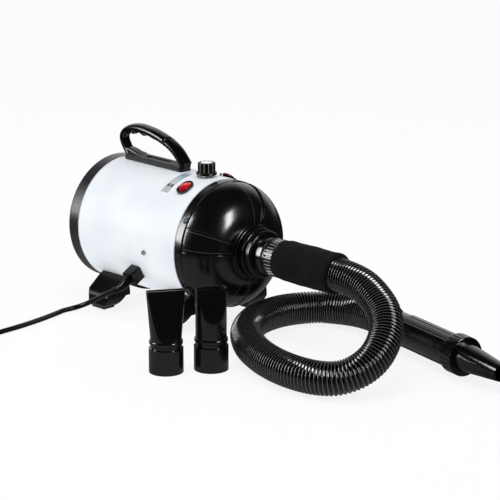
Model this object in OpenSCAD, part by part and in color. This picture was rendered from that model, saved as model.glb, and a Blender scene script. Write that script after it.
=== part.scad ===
// Pet dryer: a steel barrel on two cradles holds a fan, its motor and a heater. A ribbed
// hose with a wand leaves the domed front, and two loose nozzles stand beside it.
// Millimetres. +X runs along the barrel to the outlet, +Z is up and the floor is Z = 0.
// The origin is on the floor, midway between the cradles. Angles round the barrel are
// counted from its top towards -Y.

/* [Barrel] */
// Outside diameter of the barrel
barrel_d = 175; // [170:1:180]
// Painted length between the rear cap and the dome
barrel_l = 195; // [193:1:205]
// Distance of the rear cradle's middle from the barrel's rear end
cradle_back = 44; // [42:1:48]
// Distance of the front cradle's middle from the barrel's front end
cradle_front = 19; // [15:1:23]
// Thickness of the barrel's sheet
barrel_wall = 1.5; // [1:0.1:1.8]
// Clear height under the barrel
ground_gap = 22.5; // [21:0.5:26]

/* [Rear cap] */
// Length of the cap outside the barrel
cap_l = 20; // [18:1:26]
// How far the cap stands proud of the barrel
cap_lip = 0.5; // [0.2:0.1:1.5]
// Length of the cap's spigot inside the barrel
cap_spigot_l = 15; // [12:1:16]
// Width of the cap's rim round the air inlet
cap_rim_w = 7.5; // [6.5:0.5:10.5]
// Thickness of the grille
grille_t = 3; // [2:0.5:4]
// Width of one ring of the grille
grille_bar = 3.4; // [2.6:0.2:4]
// Spacing of the grille's rings
grille_pitch = 8; // [7:0.5:9]
// Thickness of the filter sponge
sponge_t = 12; // [8:1:12.5]

/* [Front dome] */
// Length of the plain band at the dome's rim
dome_band_l = 12; // [10:1:14]
// Wall of the dome at the bottom of a channel
dome_wall = 2.5; // [2:0.1:3]
// Depth of the radial channels
channel_depth = 1.6; // [1:0.1:2]
// Width of a radial channel, in degrees
channel_arc = 22; // [14:1:30]
// Angle of the first channel
channel_first = 75; // [70:1:80]
// Number of radial channels
channel_count = 4; // [3:1:6]
// Length of the barrel's neck under the dome
neck_l = 17; // [15:1:17.5]
// Distance of the rim screws from the dome's rear edge
rim_screw_in = 9.5; // [8:0.5:10]

/* [Outlet] */
// Diameter of the dome's outlet boss
boss_d = 72; // [70:1:76]
// Length of the boss in front of the dome
boss_l = 6; // [4:1:8]
// Diameter of the collar's large ring
collar_d = 67; // [65:1:68]
// Diameter of the collar's small ring
collar_small_d = 64; // [61:1:64.5]
// Length of one ring of the collar
collar_ring_l = 8.6; // [7:0.2:10]
// Diameter of the hose socket in the collar
socket_d = 46.2; // [45:0.2:48]
// Wall of the collar's spigot inside the boss
collar_wall = 4; // [3:0.2:5]

/* [Handle] */
// Width of the grip and of its base
handle_w = 20; // [18:0.5:24]
// Thickness of the grip
grip_t = 11.5; // [10:0.5:12.5]
// Height of the finger bumps under the grip
bump_h = 2; // [1:0.2:2.6]
// Length of one finger bump
bump_pitch = 13; // [11:0.5:16]
// Height of the base strip above the barrel
base_h = 7.5; // [6.5:0.5:8]
// Depth of the lightening groove along the base
base_groove = 2; // [1:0.2:3]

/* [Controls] */
// Distance of the knob and switches back from the barrel's front edge
control_in = 28; // [26:0.5:31]
// Angle of the switches to each side of the knob
switch_angle = 27; // [25:0.5:31]
// Diameter of the speed knob
knob_d = 24.2; // [22:0.1:26]
// Diameter of the knob's skirt
knob_skirt_d = 28.5; // [27:0.5:30]
// Height of the knob
knob_h = 16; // [14:0.5:19]
// Number of grooves round the knob
knob_flutes = 18; // [12:1:24]
// Diameter of the knob's spindle
spindle_d = 6; // [5:0.5:6.5]
// Length of a switch bezel round the barrel
bezel_l = 26; // [25:0.5:28]
// Width of a switch bezel along the barrel
bezel_w = 20; // [19.5:0.5:22]
// Height of a switch bezel
bezel_h = 2.6; // [2:0.1:3.2]
// Tilt of a rocker to each side
rocker_tilt = 8; // [5:0.5:9]

/* [Feet] */
// Length of a foot along the barrel
foot_l = 50; // [46:1:54]
// Distance of a foot's outer face from the middle
foot_out = 90; // [87:1:94]
// Thickness of the saddle band
band_t = 3.5; // [3:0.25:4]
// Thickness of the rubber pads
pad_t = 2.5; // [2:0.25:4]
// Wall of a foot's moulding
foot_wall = 3; // [2.5:0.25:4]

/* [Fan and motor] */
// Outside diameter of the fan's case
fan_d = 140; // [134:1:142]
// Diameter of the impeller
impeller_d = 120; // [110:1:124]
// Number of vanes on the impeller
vane_count = 9; // [7:1:11]
// Diameter of the motor's shaft
shaft_d = 8; // [7:0.5:9]
// Outside diameter of a bearing
bearing_d = 22; // [21:0.5:24]
// Diameter of the field core
field_d = 85; // [80:1:86]
// Length of the field core
core_l = 34; // [28:1:36]
// Diameter of the armature
armature_d = 41; // [38:0.5:42]
// Width of the motor bracket's arms
bracket_w = 20; // [16:1:24]

/* [Heater] */
// Inside diameter of the heat shield
shield_d = 100; // [96:1:104]
// Length of the heat shield
shield_l = 50; // [46:1:52]
// Diameter of the wound element
element_d = 84; // [78:1:86]
// Number of turns of the element
element_turns = 5; // [4:1:6]
// Diameter of the element's wire spiral
wire_d = 3; // [2:0.2:3.4]

/* [Hose and wand] */
// Outside diameter of the hose
hose_d = 44; // [42:0.5:44.4]
// Spacing of the hose's ribs
rib_pitch = 4.6; // [4.6:0.2:6.5]
// Depth of the hose's ribs
rib_depth = 1.6; // [1:0.1:2]
// Wall of the hose under its ribs
hose_wall = 1.2; // [0.8:0.1:1.6]
// Outside diameter of the smooth cuff
cuff_d = 50; // [49:0.5:54]
// Length of the smooth cuff in front of the collar
cuff_l = 14; // [10:1:18]
// Outside diameter of the knurled ring
knurl_d = 51.4; // [50.4:0.2:54]
// Length of the knurled ring
knurl_l = 20; // [16:0.5:22]
// Number of ridges round the knurled ring
knurl_count = 40; // [30:1:48]
// Outside diameter of the foam sleeve
sleeve_d = 56; // [54:0.5:60]
// Length of the foam sleeve
sleeve_l = 97; // [84:1:100]
// Outside diameter of the wand's grip
wand_d = 44; // [42:0.5:46]
// Length of the wand up to its collar
wand_l = 158; // [140:1:170]
// Outside diameter of the wand's collar
wand_collar_d = 52; // [49:0.5:52]
// Length of the wand's collar
wand_collar_l = 22; // [18:1:26]
// Length of the cone nozzle in front of the collar
cone_l = 74; // [60:1:90]
// Outside diameter of the cone nozzle's mouth
cone_mouth_d = 23; // [18:0.5:30]

/* [Loose nozzles] */
// Height of a loose nozzle
nozzle_h = 108; // [100:1:116]
// Outside diameter of a nozzle's socket
nozzle_socket_d = 44.6; // [43.6:0.2:48]
// Depth of a nozzle's socket
nozzle_socket_h = 32; // [28:1:34]
// Wall of a nozzle
nozzle_wall = 2; // [1.6:0.1:2.4]
// Width of the wide nozzle's mouth
wide_mouth_w = 50; // [44:1:54]
// Width of the narrow nozzle's body
narrow_mouth_w = 40; // [38:0.5:41]
// Thickness of the wide nozzle's mouth
wide_mouth_t = 10; // [9:0.5:12]
// Thickness of the narrow nozzle's mouth
narrow_mouth_t = 11; // [9:0.5:13]

/* [Mains cord] */
// Diameter of the mains cord
cord_d = 7; // [6:0.5:7]
// Whole length of the mains cord
cord_l = 2000; // [1800:50:2100]
// Turns of the stored coil
coil_turns = 7; // [6:1:8]

/* [Hidden] */

// Clearances
fit_gap = 0.3;
run_gap = 0.05;
cut = 1;

// Barrel
barrel_r = barrel_d / 2;
inner_r = barrel_r - barrel_wall;
liner_r = inner_r - fit_gap;
axis_z = ground_gap + barrel_r;
cradle_x = (barrel_l - cradle_back - cradle_front) / 2;
rear_x = -cradle_x - cradle_back;
front_x = rear_x + barrel_l;
turned_fn = 96;

// Rear cap
cap_r = barrel_r + cap_lip;
cap_x = rear_x - cap_l;
cap_round = 3;
inlet_r = barrel_r - cap_rim_w;
cap_floor_t = 2;
cap_ledge = 6;
spigot_wall = 3.5;
grille_x = cap_x + 1.5;
grille_r = inlet_r - fit_gap;
grille_rim = 4;
grille_hub_r = 12;
grille_spokes = 8;
spoke_w = 3;
spoke_sink = 0.5;
sponge_x = grille_x + grille_t + fit_gap;

// Front dome
band_wall = 3;
boss_r = boss_d / 2;
boss_land = 2;
dome_arc_r = barrel_r - boss_r - boss_land;
dome_base_r = dome_arc_r - channel_depth;
dome_arc_x = front_x + dome_band_l - 1;
dome_front_x = dome_arc_x + dome_base_r;
boss_x = dome_arc_x + dome_arc_r + boss_l - 1.5;
band_x = front_x + dome_band_l;
band_ease = 2;
neck_r = barrel_r - band_wall - fit_gap;
neck_x = front_x + neck_l;
rim_screw_x = front_x + rim_screw_in;
rim_screw_angles = [58, 122, 238, 302];
ridge_arc = 360 / channel_count - channel_arc;

// Outlet
socket_r = socket_d / 2;
collar_bore_r = socket_r + collar_wall;
collar_step = 1.5;
collar_spigot_l = 9;
collar_ring_x = boss_x + collar_step;
collar_small_x = collar_ring_x + collar_ring_l + collar_step;
collar_end_x = collar_small_x + collar_ring_l;
collar_core_r = collar_bore_r + 2.5;
edge_round = 1.5;
knurl_plain = 7;
knurl_groove = 1;
sleeve_ease = 13;

// Handle: centre line of the grip in X and height above the barrel's top
handle_line = [
  [-94, 6], [-101, 13], [-107, 22], [-108.5, 29], [-105.5, 35], [-98, 40], [-86, 43.5],
  [-74, 44.4], [-62, 43], [-48, 40.4], [-34, 37.2], [-20, 33], [-8, 28], [2, 21.5],
  [10, 14.5], [16, 8.5]
];
grip_sides = 16;
grip_steps = 3;
grip_square = 0.72;
base_rear_x = -91;
base_front_x = 17;
block_l = 15;
base_corner = 6;
base_slot = 3;
front_slot_x = -9;
seam_x = -20;
bump_from_x = -102;
bump_to_x = -48;

// Controls
control_x = front_x - control_in;
nut_t = 2.3;
knob_lift = 3;
notch_w = 1.2;
knob_z = barrel_r + knob_lift;
knob_r = knob_d / 2;
skirt_h = 3;
flute_r = 1.1;
cap_disc_t = 1.8;
spindle_r = spindle_d / 2;
bushing_r = spindle_r + 1.6;
pot_r = 12;
pot_t = 12;
pot_top = sqrt(inner_r * inner_r - pot_r * pot_r) - fit_gap;
knob_bore_end = knob_z + knob_h - 5;
rocker_l = 18.8;
rocker_w = 13.2;
window_l = 21.4;
window_w = 14.2;
pivot_r = barrel_r - 1.5;
pivot_pin_r = 1.2;
rocker_top = barrel_r + bezel_h + 2.8;
rocker_dome_r = 25;
switch_wall = 1.6;
switch_depth = 19;

// Cord gland
gland_x = 0;
gland_angle = 119;
gland_w = 20;
gland_l = 17.5;
gland_neck_l = 6;
gland_round = 3.5;
gland_stem_r = 7.5;
cord_r = cord_d / 2;

// Feet
saddle_arc = 90;
saddle_r = barrel_r + fit_gap;
foot_in = 54;
foot_shoulder_h = 26;
foot_edge_h = 21;
foot_top_h = 46;
foot_top_out = 66;
foot_top_narrow = 3;
foot_chamfer = 6;
foot_dimple_r = 4.2;
foot_dimple_z = 15;
foot_dimple_t = 1.4;
hull_r = 30;
hull_sink = 3;
foot_lean = 10;
foot_in_lift = 9;
foot_corner = 9;
foot_base_w = 2 * sqrt(hull_r * hull_r - pow(hull_r - hull_sink, 2));
cradle_screw_arc = 30;
pad_inset = 1;
pad_in = foot_in + foot_in_lift;

// Fan and motor, as places along the barrel's axis
plate_x = rear_x + cap_spigot_l;
plate_l = 13;
plate_t = 1.5;
plate_front = plate_x + plate_l + plate_t;
plate_hole_r = 40;
mount_t = 5;
fan_r = fan_d / 2;
fan_x = plate_front + mount_t;
fan_l = 32;
fan_wall = 1.2;
eye_r = 24;
impeller_r = impeller_d / 2;
impeller_x = fan_x + 3;
impeller_l = 14;
shroud_t = 1;
vane_t = 1.2;
hub_r = 9;
shaft_r = shaft_d / 2;
diffuser_x = impeller_x + impeller_l + 2;
frame_x = fan_x + fan_l;
frame_t = 3;
bearing_r = bearing_d / 2;
bearing_l = 7;
housing_r = bearing_r + 3;
heater_in = 36;
shield_x = front_x - heater_in;
bracket_room = 18.5;
leg_l = shield_x - bracket_room - frame_x;
motor_k = leg_l / 74;
core_x = frame_x + 20 * motor_k;
core_run = core_l * motor_k;
field_r = field_d / 2;
leg_t = 6;
leg_w = 10;
frame_front = frame_x + leg_l;
front_bearing_x = frame_front - 1;
commutator_r = 12;
commutator_x = core_x + core_run + 5 * motor_k;
commutator_l = 11 * motor_k;
brush_w = 10;
brush_t = 6;
armature_r = armature_d / 2;
pole_gap = 0.6;
housing_end = front_bearing_x + bearing_l + 1.5;
bracket_x = housing_end + 3.6;
bracket_t = 2;
bracket_hub_r = 24;
bracket_root_r = 20;
bracket_screw_x = bracket_x - 16.6;
bracket_angles = [96, 264];

// Heater
shield_r = shield_d / 2;
shield_wall = 1.5;
flange_x = front_x + 4;
board_t = 1;
element_r = element_d / 2;
wire_r = wire_d / 2;
element_pitch = 5.6;
element_x = shield_x + 9;

// Speed control
board_z = 60;
foam_gap = 3.5;
board_x = control_x - 72;
foam_front = min(board_x - foam_gap, gland_x - 1.6 * gland_stem_r - foam_gap);
board_l = 50;
board_w = 54;
pillar_r = 3.5;
board_sheet = 1.6;
sink_l = 24;
sink_h = 13;
sink_pitch = 4;
parts_r = 3;
parts_x = 40;

// Screws
screw_r = 2;
screw_hole_r = screw_r + 0.15;
screw_head_r = 3.8;
screw_head_t = 2.4;
inner_seat_r = sqrt(inner_r * inner_r - screw_head_r * screw_head_r) - 0.01;
bracket_screws_at = [for (a = bracket_angles) [bracket_screw_x, a]];
handle_screw_x = [plate_front + 10.5, 2];
handle_screws_at = [for (x = handle_screw_x) [x, 0]];
cradle_screws_at = [
  for (x = [-cradle_x, cradle_x], turn = [-1, 1]) [x, 180 + turn * cradle_screw_arc]
];

// Hose: hand-chosen points along its centre line
hose_x = collar_end_x + cuff_l;
sleeve_x = hose_x + knurl_l;
hose_r = hose_d / 2;
hose_z = 22;
hose_route = [
  [hose_x, 0, axis_z], [214, 0, axis_z], [244, 0, axis_z], [272, 0, axis_z], [302, 0, 110],
  [326, -1, 109], [352, -4, 105], [378, -11, 96], [401, -21, 85], [420, -37, 71],
  [431, -57, 56], [434, -79, 42], [428, -101, 31], [413, -119, 24], [390, -131, hose_z],
  [362, -136, hose_z], [332, -134, hose_z], [302, -127, hose_z], [273, -116, hose_z],
  [246, -102, hose_z], [222, -85, hose_z], [200, -65, hose_z], [182, -42, hose_z],
  [169, -16, hose_z], [163, 12, hose_z], [164, 40, hose_z], [174, 66, hose_z],
  [192, 87, 22.5], [216, 98, 23.5], [238, 103, 24.5], [260, 102.5, 25.5], [280, 99, 26],
  [300, 94.3, 26]
];
wand_start = hose_route[len(hose_route) - 1];
wand_back = hose_route[len(hose_route) - 2];
wand_turn = atan2(wand_start[1] - wand_back[1], wand_start[0] - wand_back[0]);
wand_r = wand_d / 2;
wand_wall = 2.6;
wand_tail_l = 16;
wand_step_l = 53;
wand_collar_r = wand_collar_d / 2;
cone_root_r = 19.6;
cone_mouth_r = cone_mouth_d / 2;
cone_wall = 2;

// Loose nozzles: place of each on the floor and the turn of its mouth
wide_at = [192, -202];
narrow_at = [225, -154];
nozzle_turn = 58;
nozzle_r = nozzle_socket_d / 2;
neck_groove = 2.8;
neck_h = 5;
bead_h = 6;
wide_body_r = 19.75;
wide_cut_h = 42;
dish_in = 3.5;
dish_h = 5.5;
narrow_cut_h = 65;

// Mains cord: hand-chosen points from the gland to the coil
gland_out = barrel_r + gland_l + gland_neck_l;
cord_exit = [
  gland_x,
  -gland_out * sin(gland_angle),
  axis_z + gland_out * cos(gland_angle)
];
coil_rise = cord_d + 0.5;
coil_step = cord_d + 0.5;
coil_entry_y = -296;
plug_y = -345;
plug_z = 13;
plug_r = 11;
plug_face_r = 13;
plug_neck_l = 14;
plug_grip_l = 20;
plug_face_l = 12;
plug_l = plug_neck_l + plug_grip_l + plug_face_l;
blade_y = 6.35;
blade_sink = 6;
blade_t = 1.5;
pin_z = 7.8;
pin_r = 2.4;
cord_route = [
  cord_exit, [-1.5, -101, 51.5], [-8, -104, 47], [-18, -105.5, 41.5], [-32, -106, 34],
  [-47, -105, 26], [-62, -104, 18], [-76, -105, 10.5], [-86, -110, 5.5],
  [-91, -120, 3.5], [-91.5, -133, 3.5], [-88, -150, 3.5], [-84, -171, 3.5],
  [-80.5, -195, 3.5], [-78, -222, 3.5], [-77, -257, 3.5], [-77, coil_entry_y, 3.5]
];
cord_sides = 8;
cord_rings = 44;
coil_sides = 6;
coil_segments = 24;

// ---- placing and turning

// Draws along +X, on the barrel's axis, what is drawn along +Z
module along_axis(x = 0) {
  translate([x, 0, axis_z])
    rotate([0, 90, 0])
      children();
}

// Turns a profile of [radius, x] round the barrel's axis, or over an arc about an angle
module turned(mid = 0, arc = 360) {
  translate([0, 0, axis_z])
    rotate([0, 90, 0])
      rotate_extrude(start = mid + 180 - arc / 2, angle = arc, $fn = turned_fn)
        children();
}

// A rectangle of a turned profile, between two radii and two places along the axis
module ring(r1, r2, x1, x2) {
  translate([r1, x1])
    square([r2 - r1, x2 - x1]);
}

// The same with rounded outer corners
module soft_ring(r1, r2, x1, x2, round_r) {
  ring(r1, r2 - round_r, x1, x2);
  ring(r1, r2, x1 + round_r, x2 - round_r);
  for (x = [x1 + round_r, x2 - round_r])
    translate([r2 - round_r, x])
      circle(r = round_r, $fn = 32);
}

// Places a shape at a radius from the axis, with its +Z pointing outwards
module on_side(x, angle, r) {
  translate([x, 0, axis_z])
    rotate([angle, 0, 0])
      translate([0, 0, r])
        children();
}

// A slot with round ends, its length along Y
module slot_outline(l, w) {
  square([w, l - w], center = true);
  for (side = [-1, 1])
    translate([0, side * (l - w) / 2])
      circle(d = w, $fn = 48);
}

// A square with round corners
module soft_square(w, round_r) {
  square([w, w - 2 * round_r], center = true);
  square([w - 2 * round_r, w], center = true);
  for (x = [-1, 1], y = [-1, 1])
    translate([x * (w / 2 - round_r), y * (w / 2 - round_r)])
      circle(r = round_r, $fn = 32);
}

// A pan-head screw: the head's seat is at Z = 0 and the shank runs down
module screw(shank_l) {
  translate([0, 0, -shank_l])
    cylinder(r = screw_r, h = shank_l, $fn = 24);
  difference() {
    cylinder(r1 = screw_head_r, r2 = screw_head_r * 0.8, h = screw_head_t, $fn = 32);
    translate([0, 0, screw_head_t - 0.9])
      for (turn = [0, 90])
        rotate([0, 0, turn])
          translate([-screw_head_r * 0.55, -0.5, 0])
            cube([screw_head_r * 1.1, 1, cut]);
  }
}

// ---- routes and swept tubes

function unit(v) = v / norm(v);

// Point on a smooth curve between b and c, with a before and d after
function spline_point(a, b, c, d, t) = 0.5 * (
  2 * b + (c - a) * t + (2 * a - 5 * b + 4 * c - d) * t * t
  + (3 * b - a - 3 * c + d) * t * t * t
);

// A smooth curve through a list of points
function smooth(points, steps) = [
  for (i = [0 : len(points) - 2])
    for (j = [0 : steps - 1])
      spline_point(points[max(i - 1, 0)], points[i], points[i + 1],
        points[min(i + 2, len(points) - 1)], j / steps),
  points[len(points) - 1]
];

// Distance run at each point of a curve
function run_lengths(curve) = [
  for (i = 0, run = 0; i < len(curve);
      run = run + norm(curve[min(i + 1, len(curve) - 1)] - curve[i]), i = i + 1)
    run
];

// One table for each coordinate: the distance run and the coordinate there
function tables(curve) = let (runs = run_lengths(curve)) [
  for (axis = [0 : len(curve[0]) - 1])
    [for (i = [0 : len(curve) - 1]) [runs[i], curve[i][axis]]]
];

function curve_length(curve) = run_lengths(curve)[len(curve) - 1];

function point_at(tabs, s) = [for (table = tabs) lookup(s, table)];

// Direction of a curve, from one short step back to one short step on
function heading_at(tabs, s, total, step) = unit(
  point_at(tabs, min(s + step, total)) - point_at(tabs, max(s - step, 0))
);

// A ring of points round a place on a curve, flat side down
function ring_at(p, heading, r, sides) =
  let (side = unit(cross(heading, [0, 0, 1])), up = cross(side, heading)) [
    for (k = [0 : sides - 1])
      let (a = 360 * (k + 0.5) / sides)
        p + r * (cos(a) * side + sin(a) * up)
  ];

// Triangles between neighbouring rings; a closed skin joins the last ring to the first
function skin_faces(rings, sides, closed) = [
  for (i = [0 : rings - (closed ? 1 : 2)], k = [0 : sides - 1])
    let (
      a = i * sides + k,
      b = i * sides + (k + 1) % sides,
      c = ((i + 1) % rings) * sides + (k + 1) % sides,
      d = ((i + 1) % rings) * sides + k
    )
      each [[a, b, c], [a, c, d]]
];

// A solid swept through rings, with flat ends
module swept(rings) {
  sides = len(rings[0]);
  last = (len(rings) - 1) * sides;
  ends = [
    for (k = [1 : sides - 2])
      each [[0, k + 1, k], [last, last + k, last + k + 1]]
  ];
  polyhedron(
    points = [for (r = rings) each r],
    faces = concat(skin_faces(len(rings), sides, false), ends),
    convexity = 10
  );
}

// A pipe: outer rings on the way out, inner rings on the way back
module swept_pipe(outer, inner) {
  count = len(inner);
  rings = concat(outer, [for (i = [1 : count]) inner[count - i]]);
  polyhedron(
    points = [for (r = rings) each r],
    faces = skin_faces(len(rings), len(rings[0]), true),
    convexity = 10
  );
}

// ---- barrel and rear cap

// Every screw through the barrel, as a round bar that crosses its wall
module screw_paths(r) {
  for (at = concat(bracket_screws_at, handle_screws_at, cradle_screws_at))
    on_side(at[0], at[1], inner_r - 6)
      cylinder(r = r, h = 12, $fn = 24);
}

module barrel() {
  color("white")
    difference() {
      turned() {
        ring(inner_r, barrel_r, rear_x, front_x);
        ring(neck_r - barrel_wall, barrel_r, front_x - barrel_wall, front_x);
        ring(neck_r - barrel_wall, neck_r, front_x - barrel_wall, neck_x);
      }
      screw_paths(screw_hole_r);
      for (a = rim_screw_angles)
        on_side(rim_screw_x, a, neck_r - 5)
          cylinder(r = screw_hole_r, h = 10, $fn = 24);
      on_side(control_x, 0, inner_r - 5)
        cylinder(r = bushing_r + fit_gap, h = 10, $fn = 32);
      for (side = [-1, 1])
        on_side(control_x, side * switch_angle, inner_r - 5)
          linear_extrude(10)
            slot_outline(window_l + 2 * (switch_wall + fit_gap),
              window_w + 2 * (switch_wall + fit_gap));
      on_side(gland_x, gland_angle, inner_r - 5)
        cylinder(r = gland_stem_r + fit_gap, h = 10, $fn = 48);
    }
}

module rear_cap() {
  color("#1b1c1e")
    turned() {
      difference() {
        union() {
          ring(inlet_r, cap_r, cap_x + cap_round, rear_x);
          ring(inlet_r, cap_r - cap_round, cap_x, cap_x + cap_round);
          translate([cap_r - cap_round, cap_x + cap_round])
            circle(r = cap_round, $fn = 48);
        }
        ring(0, inlet_r, cap_x - cut, rear_x + cut);
      }
      ring(inlet_r - cap_ledge, cap_r - cap_round, rear_x - cap_floor_t, rear_x);
      ring(liner_r - spigot_wall, liner_r, rear_x - cap_floor_t, plate_x);
    }
}

module rear_grille() {
  color("#222326") {
    turned() {
      ring(grille_r - grille_rim, grille_r, grille_x, grille_x + grille_t);
      ring(0, grille_hub_r, grille_x, grille_x + grille_t);
      for (r = [grille_hub_r + grille_pitch - grille_bar : grille_pitch
          : grille_r - grille_rim - grille_bar])
        ring(r, r + grille_bar, grille_x, grille_x + grille_t);
    }
    for (i = [0 : grille_spokes - 1])
      on_side(grille_x + spoke_sink, (i + 0.5) * 360 / grille_spokes, grille_hub_r - cut)
        translate([0, -spoke_w / 2, 0])
          cube([grille_t - 2 * spoke_sink, spoke_w,
            grille_r - grille_rim - grille_hub_r + 2 * cut]);
  }
}

module filter_sponge() {
  color("#3c3f42")
    turned()
      ring(0, grille_r - 0.7, sponge_x, sponge_x + sponge_t);
}

// ---- dome and outlet

// The quarter of a disc that bulges forwards from the dome's rim, filled to the axis
module dome_quarter(r) {
  intersection() {
    translate([barrel_r - dome_arc_r, dome_arc_x])
      circle(r = r, $fn = 128);
    ring(0, barrel_r, dome_arc_x, dome_arc_x + r);
  }
  ring(0, barrel_r - dome_arc_r, dome_arc_x, dome_arc_x + r);
}

module front_dome() {
  color("#0c0c0d")
    difference() {
      union() {
        turned()
          difference() {
            union() {
              ring(0, barrel_r, front_x, band_x);
              polygon([
                [barrel_r - band_wall, band_x], [barrel_r, band_x],
                [barrel_r - channel_depth, band_x + band_ease],
                [barrel_r - band_wall, band_x + band_ease]
              ]);
              dome_quarter(dome_base_r);
              soft_ring(0, boss_r, dome_front_x - dome_wall - edge_round,
                boss_x, edge_round);
            }
            ring(0, barrel_r - band_wall, front_x - cut, neck_x + fit_gap);
            dome_quarter(dome_base_r - dome_wall);
            ring(0, collar_bore_r + fit_gap, front_x, boss_x + cut);
          }
        for (i = [0 : channel_count - 1])
          turned(channel_first + (i + 0.5) * 360 / channel_count, ridge_arc)
            intersection() {
              difference() {
                dome_quarter(dome_arc_r);
                dome_quarter(dome_base_r - dome_wall / 2);
              }
              ring(boss_r - cut, barrel_r, band_x + band_ease,
                dome_arc_x + dome_arc_r);
            }
      }
      for (a = rim_screw_angles)
        on_side(rim_screw_x, a, barrel_r - band_wall - cut) {
          cylinder(r = screw_hole_r, h = band_wall + 2 * cut, $fn = 24);
          translate([0, 0, band_wall + cut - 1.2])
            cylinder(r = screw_head_r + fit_gap, h = 5, $fn = 32);
        }
    }
}

module outlet_collar() {
  color("#131314")
    turned()
      difference() {
        union() {
          ring(0, collar_bore_r, boss_x - collar_spigot_l, boss_x);
          ring(0, collar_core_r, boss_x, collar_end_x);
          soft_ring(0, collar_d / 2, collar_ring_x, collar_ring_x + collar_ring_l,
            edge_round);
          soft_ring(0, collar_small_d / 2, collar_small_x, collar_end_x, edge_round);
        }
        ring(0, socket_r, boss_x - collar_spigot_l - cut, collar_end_x + cut);
      }
}

module dome_screws() {
  color("silver")
    for (a = rim_screw_angles)
      on_side(rim_screw_x, a, barrel_r - 1.2)
        screw(band_wall + barrel_wall + 2);
}

module barrel_screws() {
  color("silver")
    for (at = bracket_screws_at)
      on_side(at[0], at[1], barrel_r)
        screw(barrel_wall + fit_gap + bracket_t + 2);
}

// ---- handle

handle_top = barrel_r + axis_z;
grip_curve = smooth(
  [for (p = handle_line) [p[0], 0, handle_top + p[1]]], grip_steps
);
grip_tabs = tables(grip_curve);
grip_l = curve_length(grip_curve);
grip_start = grip_curve[0];
grip_start_dir = unit(grip_curve[1] - grip_curve[0]);
grip_end = grip_curve[len(grip_curve) - 1];
grip_end_dir = unit(grip_curve[len(grip_curve) - 1] - grip_curve[len(grip_curve) - 2]);

// Corners of the base's end faces, square to the grip's line
function face_corner(p, heading, half) = [p[0] + half * heading[2], p[2] - half * heading[0]];

module handle_base() {
  rear_in = face_corner(grip_start, grip_start_dir, grip_t / 2);
  rear_out = face_corner(grip_start, grip_start_dir, -grip_t / 2);
  front_in = face_corner(grip_end, grip_end_dir, grip_t / 2);
  front_out = face_corner(grip_end, grip_end_dir, -grip_t / 2);
  top = handle_top + base_h;
  color("#2a2b2d")
    difference() {
      translate([0, handle_w / 2, 0])
        rotate([90, 0, 0])
          linear_extrude(handle_w)
            polygon([
              [base_rear_x, handle_top - 2], rear_out, rear_in,
              [base_rear_x + block_l, rear_in[1] - 1],
              [base_rear_x + block_l + 5, top], [base_front_x - block_l, top],
              front_in, front_out,
              [base_front_x + 2, handle_top + 4], [base_front_x, handle_top - 2]
            ]);
      along_axis(rear_x - cut)
        cylinder(r = barrel_r + run_gap, h = barrel_l + 2 * cut, $fn = turned_fn);
      for (side = [-1, 1])
        translate([base_front_x + 2, side * handle_w / 2, handle_top])
          rotate([0, 0, 45])
            cube([base_corner, base_corner, 6 * base_h], center = true);
      translate([front_slot_x, -handle_w / 4, top - base_slot])
        cube([base_slot, handle_w / 2, base_slot + cut]);
      for (x = handle_screw_x)
        translate([x, 0, handle_top - 3])
          cylinder(r = screw_r + run_gap, h = base_h, $fn = 24);
      translate([base_rear_x + block_l + 9, -handle_w / 4, top - base_groove])
        cube([base_front_x - base_rear_x - 2 * block_l - 24, handle_w / 2, 5]);
    }
}

// How far the grip's inner side swells at a place along it
function bump_at(x, z) = x > bump_from_x && x < bump_to_x && z > handle_top + 30
  ? bump_h * pow(sin(180 * (x - bump_from_x) / bump_pitch), 2) : 0;

// A rounded cross-section of the grip; the inner side is the one towards the hand gap
function grip_ring(p, heading, half_w, half_t, bump) =
  let (outward = [-heading[2], 0, heading[0]]) [
    for (k = [0 : grip_sides - 1])
      let (
        a = 360 * (k + 0.5) / grip_sides,
        across = half_w * sign(cos(a)) * pow(abs(cos(a)), grip_square),
        out = half_t * sign(sin(a)) * pow(abs(sin(a)), grip_square)
      )
        p + [0, -across, 0] + (out < 0 ? out * (1 + bump / half_t) : out) * outward
  ];

module handle_grip() {
  steps = 60;
  color("#161618")
    swept([
      for (i = [0 : steps])
        let (
          s = grip_l * i / steps,
          p = point_at(grip_tabs, s),
          heading = i == 0 ? grip_start_dir : i == steps ? grip_end_dir
            : heading_at(grip_tabs, s, grip_l, 2),
          seam = abs(p[0] - seam_x) < 2 ? 0.9 : 0
        )
          grip_ring(p, heading, handle_w / 2 - seam, grip_t / 2 - seam,
            bump_at(p[0], p[2]))
    ]);
}

module handle_screws() {
  color("silver")
    for (at = handle_screws_at)
      on_side(at[0], at[1], inner_seat_r)
        rotate([180, 0, 0])
          screw(barrel_wall + base_h - 3);
}

// ---- knob and switches

module speed_knob() {
  color("#151516")
    on_side(control_x, 0, knob_z)
      difference() {
        union() {
          cylinder(r1 = knob_skirt_d / 2, r2 = knob_skirt_d / 2 - 0.6, h = skirt_h,
            $fn = 64);
          cylinder(r = knob_r, h = knob_h, $fn = 64);
        }
        for (i = [0 : knob_flutes - 1])
          rotate([0, 0, i * 360 / knob_flutes])
            translate([knob_r + flute_r / 2, 0, skirt_h])
              cylinder(r = flute_r, h = knob_h, $fn = 20);
        translate([0, 0, knob_h - cap_disc_t])
          cylinder(r = knob_r - 2.2, h = cap_disc_t + cut, $fn = 48);
        translate([0, 0, -cut])
          cylinder(r = bushing_r + 1, h = 8 + cut, $fn = 32);
        cylinder(r = spindle_r + run_gap, h = knob_bore_end - knob_z, $fn = 32);
      }
}

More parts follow.
